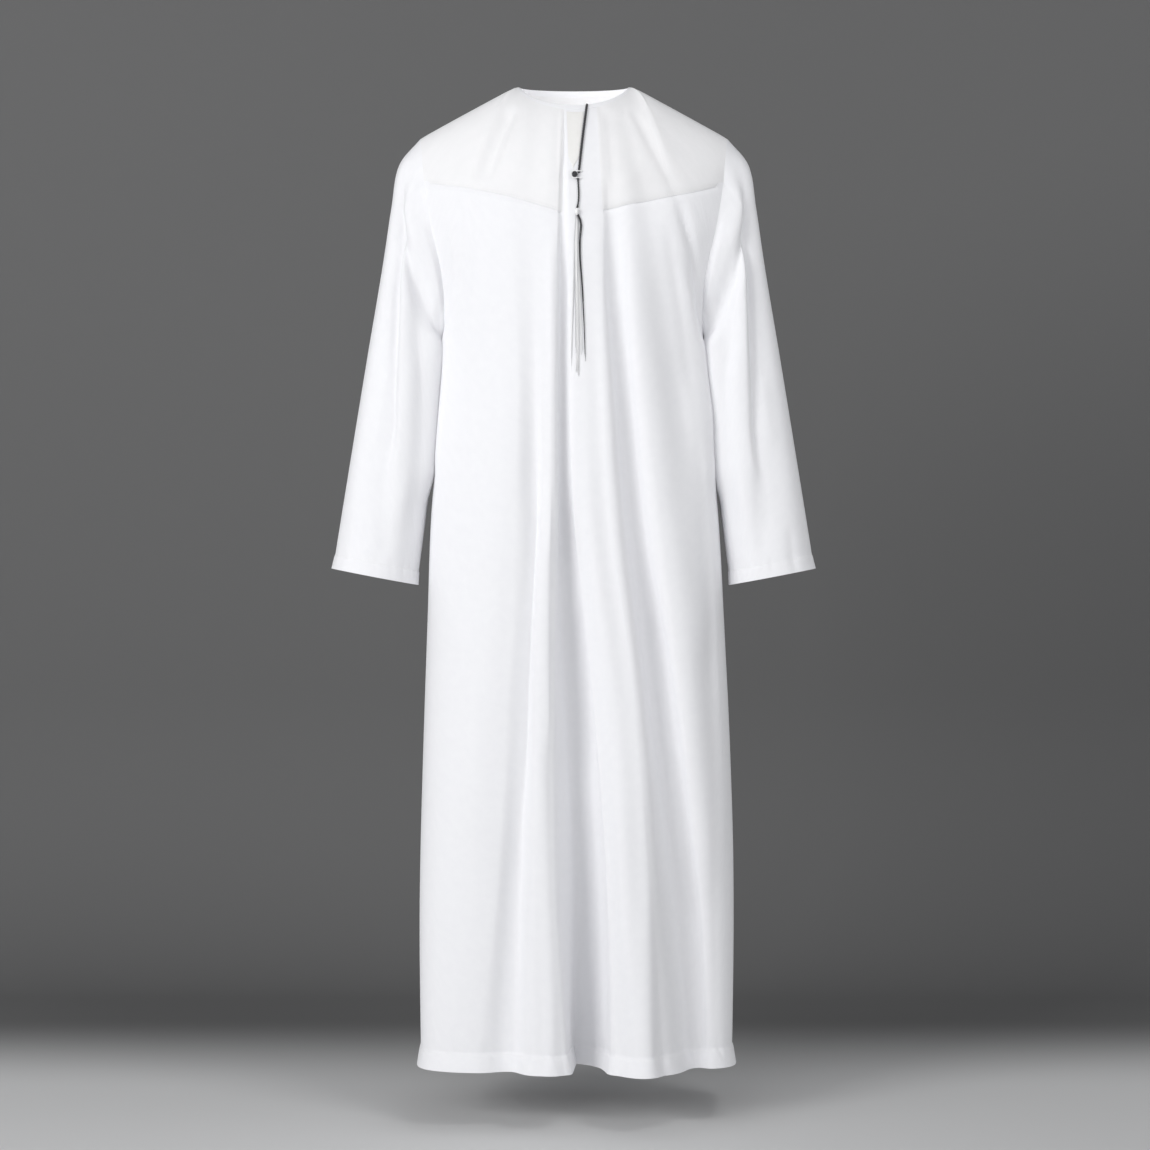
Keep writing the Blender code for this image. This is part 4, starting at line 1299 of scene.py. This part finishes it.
    def build_yoke(self) -> bpy.types.Object:
        """The yoke over both shoulders and round the back of the neck."""
        made = sheet_object("yoke_cloth", self.yoke_parts(), self.finishes.yoke, self.yoke_wall)
        return finish_piece(made, "yoke")


@dataclass
class Sleeves:
    """The two set-in sleeves."""

    body: Body
    # the cuff's band, how far it stands out and how far it flares, and its puckers' width and length, in
    # millimetres, and about how many millimetres a degree round the cuff is
    cuff_band: float = 22.0
    cuff_rise: float = 0.7
    cuff_flare: float = 1.6
    pucker_width: float = 2.8
    pucker_reach: float = 11.0
    degree: float = 0.7
    creases: tuple[Crease, ...] = (
        # the long outer trough, and the slanting one that runs in to the armpit with its ridge
        Crease(((46, 170), (58, 300), (72, 400), (86, 500), (90, 600)), 7, -7.0),
        Crease(((42, 180), (60, 226), (82, 278), (104, 324), (126, 358), (160, 392)), 9, -8.0),
        Crease(((64, 190), (80, 230), (98, 272), (118, 312), (136, 344)), 9, 4.0),
        # the front ridge down to the cuff, and the cloth that turns in to the body
        Crease(((96, 372), (106, 450), (114, 550), (122, 660)), 13, 3.6),
        Crease(((90, 556), (100, 620), (104, 700)), 12, -2.6),
        Crease(((60, 420), (64, 480), (66, 540)), 10, 1.8),
        Crease(((134, 330), (142, 440), (147, 530), (153, 620)), 26, 11.0),
        Crease(((58, 640), (60, 680), (61, 730)), 6, -1.4),
        Crease(((210, 350), (250, 392), (290, 410)), 9, -1.8),
        Crease(((200, 420), (246, 440), (282, 470)), 9, -1.5),
        Crease(((320, 140), (302, 220), (296, 300)), 9, -1.3),
        Crease(((250, 540), (262, 600), (258, 660)), 10, -1.2),
    )

    def seam(self, side: Side) -> np.ndarray:
        """The armhole's points.

        Args:
            side: left or right.

        Returns:
            The points, down the front from the shoulder and up the back.
        """
        pit = self.body.form.yoke_rows + self.body.form.armhole_rows
        front = self.body.front.points[: pit + 1, 0 if side is Side.LEFT else -1]
        back = self.body.back.points[: pit + 1, -1 if side is Side.LEFT else 0]
        return np.concatenate([front, back[::-1][1:]])

    def cloth(self, side: Side) -> Cloth:
        """A sleeve's cloth with its creases and turned cuff.

        Args:
            side: left or right.

        Returns:
            The cloth, whose first and last columns meet.
        """
        sleeve = self.body.form.sleeve(self.seam(side), side).creased(self.creases, ("top",))
        above = sleeve.edge_distances()["bottom"] / MM - self.cuff_band
        chance = np.random.default_rng(31 + side.value)
        height = turned_edge(above, self.cuff_rise)
        height += self.cuff_flare * MM * np.clip(-above / self.cuff_band, 0, 1)
        round_it = np.cumsum(np.full(sleeve.across.shape, 360 / sleeve.across.shape[1]), axis=1)
        place = 0.0
        while place < 352:
            place += chance.uniform(9, 26)
            depth = chance.uniform(0.3, 1.1)
            away = (round_it - place - chance.uniform(-0.2, 0.2) * above) * self.degree
            height -= depth * MM * bell(away, self.pucker_width) * bell(above + 3, self.pucker_reach)
        height[:, -1] = height[:, 0] = (height[:, 0] + height[:, -1]) / 2
        sleeve = sleeve.moved(height)
        sleeve.points[:, -1] = sleeve.points[:, 0] = (sleeve.points[:, 0] + sleeve.points[:, -1]) / 2
        return sleeve

    def build(self, side: Side) -> bpy.types.Object:
        """Builds one sleeve.

        Args:
            side: left or right.

        Returns:
            The piece.
        """
        name = "sleeve_left" if side is Side.LEFT else "sleeve_right"
        cloth = self.body.finishes.cloth
        made = sheet_object(f"{name}_cloth", [self.cloth(side)], cloth, self.body.wall)
        return finish_piece(made, name)


@dataclass
class Neck:
    """The binding, the placket, the dark piping that also paints the slit's shadow, the button knot and its
    loop.
    """

    body: Body
    # the binding's fold, from its hidden edge under the cloth over the rim and down its face: the row of the
    # panel that it follows, and how far it stands out of the cloth and past the rim, in millimetres
    binding_fold: tuple[tuple[int, float, float], ...] = (
        (3, -0.60, -0.3),
        (3, -1.00, 0.0),
        (1, -1.20, 0.0),
        (0, -0.90, 0.5),
        (0, -0.10, 1.1),
        (0, 0.70, 0.5),
        (1, 0.90, 0.0),
        (2, 0.85, 0.0),
        (3, 0.70, 0.0),
        (3, 0.25, -0.3),
    )
    binding_wall: float = 0.35 * MM
    # how far the binding's ends stand back from the slit's left and right lip
    binding_ends: tuple[float, float] = (1.2, 1.6)
    # the placket: its first row of the panel, its length as a share of the yoke's rows, the share of its
    # length that its point takes, its gap to the slit in columns, its grid, its lift and its edges' roll
    placket_wall: float = 0.5 * MM
    placket_start: float = 4.2
    placket_share: float = 0.645
    placket_point: float = 0.20
    placket_gap: float = 0.9
    placket_grid: tuple[int, int] = (60, 13)
    placket_lift: float = 0.9 * MM
    placket_roll: tuple[float, float] = (0.55, 0.9)
    piping_radius: float = 1.6 * MM
    piping_share: float = 0.60
    piping_lift: float = 1.5 * MM
    piping_aside: float = 0.7 * MM
    button_radius: float = 4.1 * MM
    button_flatness: float = 0.62
    button_x: float = -0.4 * MM
    button_drop: float = 0.1455
    button_gap: float = 1.6 * MM
    # the tilts of the button's three turns in degrees, and the sizes of its turns, cord and core as shares of
    # its radius
    button_tilts: tuple[float, float, float] = (25.0, 85.0, 145.0)
    button_turn: tuple[float, float, float] = (0.80, 0.42, 0.10)
    button_cord: float = 0.24
    button_core: float = 0.86
    loop_radius: float = 0.9 * MM
    loop_gap: float = 0.3 * MM
    loop_end_x: float = 10.0 * MM

    def binding_parts(self) -> list[Cloth]:
        """The binding as three folded strips: left front, right front and back."""
        form = self.body.form
        slit = form.fold_column("slit_line")
        ends = form.shoulder_columns // 4
        parts = []
        for cloth, columns in (
            (self.body.front, slice(form.shoulder_columns - ends, slit + 1)),
            (self.body.front, slice(slit, -(form.shoulder_columns - ends))),
            (self.body.back, slice(form.shoulder_columns - ends, -(form.shoulder_columns - ends))),
        ):
            normals = cloth.normals[:5, columns]
            points = cloth.points[:5, columns]
            rim = -unit(points[1] - points[0])
            fold = self.binding_fold
            grid = np.array([points[i] + normals[i] * out * MM + rim * past * MM for i, out, past in fold])
            parts.append(Cloth(grid, grid[..., 0] / MM, -grid[..., 2] / MM))
        left, right, behind = parts
        left_end, right_end = self.binding_ends
        left.points[:, -1] += unit(left.points[:, -2] - left.points[:, -1]) * left_end * MM
        right.points[:, 0] += unit(right.points[:, 1] - right.points[:, 0]) * right_end * MM
        return parts

    def build_binding(self) -> bpy.types.Object:
        """The narrow binding folded over the neckline, open at the slit."""
        cloth = self.body.finishes.cloth
        made = sheet_object("neck_binding_cloth", self.binding_parts(), cloth, self.binding_wall)
        return finish_piece(made, "neck_binding")

    def placket_cloth(self) -> Cloth:
        """The placket's outer face: a flat strip beside the slit that ends in a point.

        Returns:
            The cloth, lifted off the front and with its edges rolled down.
        """
        form = self.body.form
        front = self.body.front.points
        first = form.fold_column("placket_left")
        last = form.fold_column("slit_line") - self.placket_gap
        middle = (first + last) / 2
        end = round(form.yoke_rows * self.placket_share)
        row_count, column_count = self.placket_grid
        rows = np.linspace(self.placket_start, end, row_count)
        narrow = eased((rows - end * (1 - self.placket_point)) / (end * self.placket_point)) * 0.98
        grid = []
        for row, taper in zip(rows, narrow):
            columns = middle + (np.linspace(first, last, column_count) - middle) * (1 - taper)
            low = int(row)
            w = row - low
            here = front[low] * (1 - w) + front[low + 1] * w
            at = [np.interp(columns, np.arange(len(here)), here[:, k]) for k in range(3)]
            grid.append(np.stack(at, axis=-1))
        grid = np.array(grid)
        cloth = Cloth(grid, grid[..., 0] / MM, -grid[..., 2] / MM).moved(self.placket_lift)
        return cloth.seamed(("top", "bottom", "first", "last"), *self.placket_roll)

    def build_placket(self) -> bpy.types.Object:
        """The pointed placket."""
        placket = self.body.finishes.placket
        made = sheet_object("placket_cloth", [self.placket_cloth()], placket, self.placket_wall)
        return finish_piece(made, "placket")

    def build_piping(self) -> bpy.types.Object:
        """The dark twisted cord along the slit's right lip, which also paints the shadow in the slit."""
        form, front = self.body.form, self.body.front
        slit = form.fold_column("slit_line")
        rows = np.arange(0, round(form.yoke_rows * self.piping_share) + 4, 2)
        points = front.points[rows, slit] + front.normals[rows, slit] * self.piping_lift
        points[:, 0] += self.piping_aside
        path = smooth_path(points, 90)
        made = mesh_object(
            "slit_piping_cord",
            *tube_mesh(path, self.piping_radius, 14, twist=230.0, strands=3),
            self.body.finishes.dark_cord,
        )
        return finish_piece(made, "slit_piping")

    def button_centre(self) -> np.ndarray:
        """The middle of the button knot."""
        lift = self.button_gap + self.button_radius * self.button_flatness
        return self.body.front.at(self.button_x, self.button_drop) - [0, lift, 0]

    def build_button(self) -> bpy.types.Object:
        """The button, a small turban knot: three turns of cord round a core, all in the dark cord, which also
        paints the shadow in the knot's middle.
        """
        centre = self.button_centre()
        turns = np.linspace(0, 2 * np.pi, 40)
        wide, deep, wave = self.button_turn
        parts = []
        for tilt in np.radians(self.button_tilts):
            ring = np.stack(
                [
                    np.cos(turns) * math.cos(tilt) * wide,
                    np.cos(turns) * math.sin(tilt) * deep + np.sin(turns * 2) * wave,
                    np.sin(turns) * wide,
                ],
                axis=-1,
            )
            path = centre + ring * self.button_radius
            parts.append(tube_mesh(path, self.button_radius * self.button_cord, 8, twist=400.0, strands=2))
        bpy.ops.object.select_all(action="DESELECT")
        bpy.ops.mesh.primitive_uv_sphere_add(
            segments=28, ring_count=18, radius=self.button_radius * self.button_core, location=centre
        )
        core = bpy.context.object
        core.scale = (1.0, self.button_flatness, 1.0)
        bpy.ops.object.transform_apply(location=True, rotation=False, scale=True)
        core_points = np.array([vert.co[:] for vert in core.data.vertices])
        # Blender may list a sphere's faces in another order each time
        core_faces = sorted(tuple(face.vertices) for face in core.data.polygons)
        bpy.data.objects.remove(core, do_unlink=True)
        parts.append((core_points, core_faces))
        made = mesh_object("button_knot_cord", *joined(parts), self.body.finishes.dark_cord)
        return finish_piece(made, "button_knot")

    def build_loop(self) -> bpy.types.Object:
        """The twisted loop round the button, from the slit's right side and back."""
        centre = self.button_centre()
        reach = self.button_radius + self.loop_radius + self.loop_gap
        clear = [0, self.loop_radius + CORD_GAP, 0]
        turns = np.radians(np.linspace(70, 290, 13))
        around = [centre + [reach * math.cos(turn), 0, reach * math.sin(turn)] for turn in turns]
        ends = [self.body.front.at(self.loop_end_x, -centre[2] - side * reach) - clear for side in (1, -1)]
        path = smooth_path([ends[0], *around, ends[1]], 80)
        made = mesh_object(
            "button_loop_cord",
            *tube_mesh(path, self.loop_radius, 10, twist=420.0, strands=2),
            self.body.finishes.white_thread,
        )
        return finish_piece(made, "button_loop")


class Lock(Enum):
    """The colours of the tassel's threads, in the order of the tassel's material slots."""

    WHITE = 0
    # dark threads, partly painted shadow along the tassel's right side
    DARK = 1
    # grey threads, painted shade between the white ones
    GREY = 2


@dataclass(frozen=True)
class StrandGroup:
    """A lock of tassel threads.

    It has its number of threads, its path as x in millimetres and drop in metres, its spread to each side at
    its root and its end in millimetres, and its colour.
    """

    count: int
    path: tuple[tuple[float, float], ...]
    spread: tuple[float, float]
    lock: Lock


@dataclass
class Tassel:
    """The tassel and the short cord that it hangs from."""

    body: Body
    cord_radius: float = 1.05 * MM
    head_radius: float = 2.8 * MM
    head_length: float = 9.0 * MM
    head_x: float = 2.6 * MM
    head_top: float = 0.1950
    # the binding of the head: its first and last turn as shares of its length, their number and thickness
    bound: tuple[float, float, int] = (0.28, 0.72, 8)
    bound_radius: float = 0.32 * MM
    strand_radius: float = 0.30 * MM
    strand_points: int = 16
    # how far apart the threads lie in depth at their roots, and how much less at their ends, in millimetres
    layers: tuple[float, float] = (1.5, 0.9)
    cord_path: tuple[tuple[float, float], ...] = (
        (0.0040, 0.1496),
        (0.0046, 0.1600),
        (0.0052, 0.1720),
        (0.0048, 0.1840),
        (0.0032, 0.1935),
    )
    groups: tuple[StrandGroup, ...] = (
        # the dark lock: partly dark threads and partly the tassel's shadow, painted
        StrandGroup(
            10,
            (
                *((4.2, 0.203), (7.8, 0.212), (7.0, 0.238), (7.2, 0.262)),
                *((8.8, 0.286), (10.4, 0.308), (11.6, 0.330)),
            ),
            (1.5, 0.7),
            Lock.DARK,
        ),
        StrandGroup(
            5,
            (
                *((4.2, 0.203), (7.6, 0.212), (7.0, 0.245), (7.6, 0.270)),
                *((10.0, 0.305), (12.2, 0.345), (14.8, 0.416)),
            ),
            (0.7, 0.6),
            Lock.DARK,
        ),
        StrandGroup(
            18,
            ((1.6, 0.203), (1.2, 0.240), (1.8, 0.280), (2.7, 0.320), (3.4, 0.380), (3.4, 0.434)),
            (1.4, 2.2),
            Lock.WHITE,
        ),
        StrandGroup(
            8,
            ((0.9, 0.203), (-0.8, 0.260), (-2.6, 0.320), (-4.2, 0.380), (-5.0, 0.428)),
            (0.8, 1.2),
            Lock.WHITE,
        ),
        StrandGroup(
            9,
            ((3.4, 0.203), (4.2, 0.240), (5.6, 0.290), (8.0, 0.350), (9.6, 0.404)),
            (1.0, 1.8),
            Lock.WHITE,
        ),
        StrandGroup(
            3,
            ((1.6, 0.203), (-0.6, 0.235), (-0.8, 0.275), (0.8, 0.330), (1.5, 0.402)),
            (0.4, 0.6),
            Lock.GREY,
        ),
        # grey threads laid among the white ones as painted shade
        StrandGroup(
            3,
            ((2.6, 0.203), (3.2, 0.280), (4.0, 0.330), (4.4, 0.390), (4.4, 0.436)),
            (0.4, 0.5),
            Lock.GREY,
        ),
        StrandGroup(
            2,
            ((0.9, 0.203), (-1.5, 0.260), (-3.4, 0.330), (-4.8, 0.380), (-5.2, 0.428)),
            (0.3, 0.5),
            Lock.GREY,
        ),
    )

    def build_cord(self) -> bpy.types.Object:
        """The dark twisted cord from the loop to the tassel's head."""
        clear = [0, self.cord_radius + CORD_GAP, 0]
        path = smooth_path([self.body.front.at(x, drop) - clear for x, drop in self.cord_path], 80)
        share = np.linspace(0, 1, 80)
        knots = 0.9 * bell(share, 0.09) + 0.6 * bell(1 - share, 0.06)
        made = mesh_object(
            "tassel_cord_twist",
            *tube_mesh(path, self.cord_radius * (1 + knots), 12, twist=260.0, strands=3),
            self.body.finishes.dark_cord,
        )
        return finish_piece(made, "tassel_cord")

    def head(self) -> list:
        """The head: a bell of threads bound round with eight turns.

        Returns:
            Points and faces of each part.
        """
        top = self.body.front.at(self.head_x, self.head_top)
        low = self.body.front.at(self.head_x, self.head_top + self.head_length)
        clear = np.array([0, self.head_radius + CORD_GAP, 0])
        shares = np.linspace(0, 1, 20)
        path = (top - clear) + (low - top) * shares[:, None]
        swell = self.head_radius * (0.55 + 0.35 * np.sin(np.pi * np.clip(shares * 1.25, 0, 1)) ** 0.6)
        parts = [tube_mesh(path, swell, 16)]
        turns = np.linspace(0, 2 * np.pi, 28)
        round_it = np.stack([np.cos(turns), np.sin(turns), np.zeros_like(turns)], axis=-1)
        for share in np.linspace(*self.bound):
            ring = (top - clear) + (low - top) * share + round_it * (self.head_radius * 0.92)
            parts.append(tube_mesh(ring, self.bound_radius, 6))
        return parts

    def strands(self, lock: Lock) -> list:
        """The threads of one colour, as points and faces of each.

        Args:
            lock: the colour.

        Returns:
            Points and faces of each thread.
        """
        chance = np.random.default_rng(5)
        # only the cloth behind the tassel is searched
        yoke_row = self.body.yoke_row
        region = self.body.front.cut(slice(yoke_row - 3, yoke_row + 60), slice(None))
        columns = np.abs(region.points[20, :, 0]) < 0.035
        near = Cloth(region.points[:, columns], region.across[:, columns], region.down[:, columns])
        parts = []
        for group in self.groups:
            xs, drops = zip(*group.path)
            for _ in range(group.count):
                aside = chance.uniform(-1, 1)
                layer = chance.uniform(0, 1)
                longer = chance.uniform(0.93, 1.0)
                wave = chance.uniform(0, 2 * np.pi)
                if group.lock is not lock:
                    continue
                layer = layer if lock is Lock.WHITE else 0.7 + 0.5 * layer
                points = []
                for share in np.linspace(0, 1, self.strand_points):
                    drop = drops[0] + (drops[-1] - drops[0]) * share * longer
                    spread = group.spread[0] + (group.spread[1] - group.spread[0]) * share
                    swing = 0.18 * math.sin(wave + share * 9) * share
                    x = float(through(drops, xs, drop)) + aside * spread + swing
                    apart = self.layers[0] - self.layers[1] * share
                    off = self.strand_radius + CORD_GAP + layer * apart * MM
                    points.append(near.at(x * MM, drop) - [0, off, 0])
                ends = np.linspace(1.0, 0.7, len(points)) * self.strand_radius
                parts.append(tube_mesh(np.array(points), ends, 4))
        return parts

    def build(self) -> bpy.types.Object:
        """The tassel: its bound head, white locks, one dark lock that is partly painted shadow, and a few
        grey threads of painted shade.
        """
        finishes = self.body.finishes
        parts, slots = [], []
        for lock in Lock:
            threads = self.strands(lock) + (self.head() if lock is Lock.WHITE else [])
            parts += threads
            slots += [lock.value] * sum(len(faces) for _, faces in threads)
        made = mesh_object("tassel_threads", *joined(parts), finishes.white_thread)
        made.data.materials.append(finishes.dark_cord)
        made.data.materials.append(finishes.painted_shade_thread)
        made.data.polygons.foreach_set("material_index", slots)
        return finish_piece(made, "tassel")


@dataclass
class Sewing:
    """Rows of machine stitches, all joined into one mesh."""

    body: Body
    spacing: float = 3.2 * MM
    length: float = 2.3 * MM
    radius: float = 0.24 * MM
    # how far above the yoke's edge its stitches run, and how far stitches stand out, in millimetres
    yoke_inset: float = 2.4
    hem_lift: float = 0.12
    yoke_lift: float = 0.10

    def row(self, points: np.ndarray, normals: np.ndarray) -> list:
        """Stitches along a line on the cloth.

        Args:
            points: the line.
            normals: the cloth's normals along it.

        Returns:
            Points and faces of each stitch.
        """
        far = path_lengths(points)

        def along(values: np.ndarray, distance: float) -> np.ndarray:
            """The line's values at a distance along it."""
            return np.array([np.interp(distance, far, values[:, k]) for k in range(3)])

        parts = []
        for start in np.arange(self.spacing / 2, far[-1] - self.spacing, self.spacing):
            first, last = along(points, start), along(points, start + self.length)
            out = unit(along(normals, start))
            way = last - first
            side = unit(np.cross(way, out)) * self.radius * 1.2
            up = out * self.radius
            shoulders = [first + way * 0.2, first + way * 0.8]
            ring = [spot + move for spot in shoulders for move in (side, up * 1.3, -side, -up * 0.4)]
            verts = np.array([first - up * 0.6, *ring, last - up * 0.6])
            faces = [(0, 1 + i, 1 + (i + 1) % 4) for i in range(4)]
            faces += [(1 + i, 5 + i, 5 + (i + 1) % 4, 1 + (i + 1) % 4) for i in range(4)]
            faces += [(9, 5 + (i + 1) % 4, 5 + i) for i in range(4)]
            parts.append((verts, faces))
        return parts

    def at_length(self, cloth: Cloth, from_end: float, lift: float) -> list:
        """Stitches round a cloth, along its lower edge.

        Args:
            cloth: the cloth.
            from_end: how far above the edge they run, in millimetres.
            lift: how far they stand out, in millimetres.

        Returns:
            Points and faces of each stitch.
        """
        left = cloth.edge_distances()["bottom"] / MM
        rows = np.argmin(np.abs(left - from_end), axis=0)
        columns = np.arange(cloth.across.shape[1])
        share = (left[rows, columns] - from_end) * MM
        normals = cloth.normals[rows, columns]
        below = np.minimum(rows + 1, len(cloth.points) - 1)
        way = unit(cloth.points[below, columns] - cloth.points[rows - 1, columns])
        points = cloth.points[rows, columns] + way * share[:, None] + normals * lift * MM
        return self.row(points, normals)

    def build(self, sleeves: Sleeves) -> bpy.types.Object:
        """All rows of stitches: hems, cuffs and the yoke's lower edge.

        Args:
            sleeves: the sleeves, for their cuffs.

        Returns:
            The stitches as one mesh.
        """
        body = self.body
        parts = []
        for panel, seed in body.hem_seeds:
            cloth = body.front if panel is Panel.FRONT else body.back
            parts += self.at_length(body.hemmed(cloth, seed), body.hem_band - STITCH_INSET, self.hem_lift)
        for side in Side:
            parts += self.at_length(sleeves.cloth(side), sleeves.cuff_band - STITCH_INSET, self.hem_lift)
        for part in body.yoke_parts():
            parts += self.at_length(part, self.yoke_inset, self.yoke_lift)
        made = mesh_object("stitches", *joined(parts), body.finishes.white_thread)
        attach(made, "root")
        log.info("stitches: %d", len(parts))
        return made


@dataclass
class Studio:
    """The floor and backdrop, the lights and the camera."""

    distance: float = 3.6
    height: float = -0.7144
    pixel: float = 1.467 * MM
    frame_width: int = 1150
    floor_drop: float = 1.50
    wall_back: float = 0.95
    sweep: float = 0.55
    # the paper's near edge, its top and its half width
    paper: tuple[float, float, float] = (-6.0, 5.0, 7.0)
    sensor: float = 36.0
    air: float = 0.32
    # name, place, the point that it faces, side of the square in metres, power in watts
    lights: tuple[tuple[str, tuple[float, float, float], tuple[float, float, float], float, float], ...] = (
        ("key", (-3.0, -3.2, 0.4), (0, 0, -0.7), 1.8, 96.0),
        ("side_key", (-3.9, -2.1, 0.3), (0, 0, -0.7), 1.2, 14.0),
        ("front", (-1.3, -4.0, 0.6), (0, 0, -0.7), 1.8, 20.0),
        ("right_fill", (2.9, -3.2, -0.1), (0, 0, -0.7), 1.8, 21.0),
        ("right_edge", (4.2, -0.9, -0.3), (0, 0, -0.7), 1.8, 14.0),
        ("right_top", (1.2, -1.4, 1.9), (0.15, 0, -0.15), 1.0, 15.0),
        # a small lamp inside the robe, for the inner face of the back of the neck
        ("neck_lamp", (0.0, -0.02, -0.28), (0, 0.05, 0), 0.07, 0.32),
    )

    def build_camera(self) -> None:
        """The camera at the photograph's place, level and straight in front."""
        data = bpy.data.cameras.new("camera")
        data.sensor_width = self.sensor
        data.lens = data.sensor_width * (self.distance / self.pixel) / self.frame_width
        camera = bpy.data.objects.new("camera", data)
        camera.location = (0.0, -self.distance, self.height)
        camera.rotation_euler = (math.radians(90), 0, 0)
        bpy.context.scene.collection.objects.link(camera)
        bpy.context.scene.camera = camera

    def build_sweep(self) -> None:
        """The floor, which curves up into a wall."""
        near, top, half_width = self.paper
        turn = np.radians(np.linspace(0, 90, 24))
        profile = [(near, 0.0)]
        profile += [(self.wall_back + self.sweep * math.sin(a), self.sweep * (1 - math.cos(a))) for a in turn]
        profile += [(self.wall_back + self.sweep, top)]
        verts = [(x, y, z - self.floor_drop) for y, z in profile for x in (-half_width, half_width)]
        faces = [(2 * i, 2 * i + 1, 2 * i + 3, 2 * i + 2) for i in range(len(profile) - 1)]
        paper = Backdrop("paper_sweep", "#D8D8D8", "#6B6B6B", 0.15, 0.75)
        mesh_object("sweep", np.array(verts), faces, paper.build())

    def add_light(self, name: str, place: tuple, aim: tuple, size: float, power: float) -> None:
        """A square soft light.

        Args:
            name: its name.
            place: where it stands.
            aim: the point that it faces.
            size: its side in metres.
            power: its power in watts.
        """
        data = bpy.data.lights.new(name, "AREA")
        data.size = size
        data.energy = power
        light = bpy.data.objects.new(name, data)
        light.location = place
        light.rotation_euler = (Vector(aim) - Vector(place)).to_track_quat("-Z", "Y").to_euler()
        bpy.context.scene.collection.objects.link(light)

    def build(self) -> None:
        """Sets up the whole studio."""
        self.build_camera()
        self.build_sweep()
        for name, place, aim, size, power in self.lights:
            self.add_light(name, place, aim, size, power)
        world = bpy.data.worlds.new("studio_air")
        world.use_nodes = True
        world.node_tree.nodes["Background"].inputs["Color"].default_value = linear("#F2F4F8")
        world.node_tree.nodes["Background"].inputs["Strength"].default_value = self.air
        bpy.context.scene.world = world
        bpy.context.scene.view_settings.view_transform = "Standard"


def main() -> None:
    """Builds the robe and its studio."""
    logging.basicConfig(level=logging.INFO, format="%(message)s")
    Studio().build()
    finishes = Finishes()
    body = Body(RobeForm(), finishes)
    body.build_front()
    body.build_back()
    body.build_yoke()
    sleeves = Sleeves(body)
    for side in Side:
        sleeves.build(side)
    neck = Neck(body)
    neck.build_binding()
    neck.build_placket()
    neck.build_piping()
    neck.build_button()
    neck.build_loop()
    tassel = Tassel(body)
    tassel.build_cord()
    tassel.build()
    Sewing(body).build(sleeves)


if __name__ == "__main__":
    main()
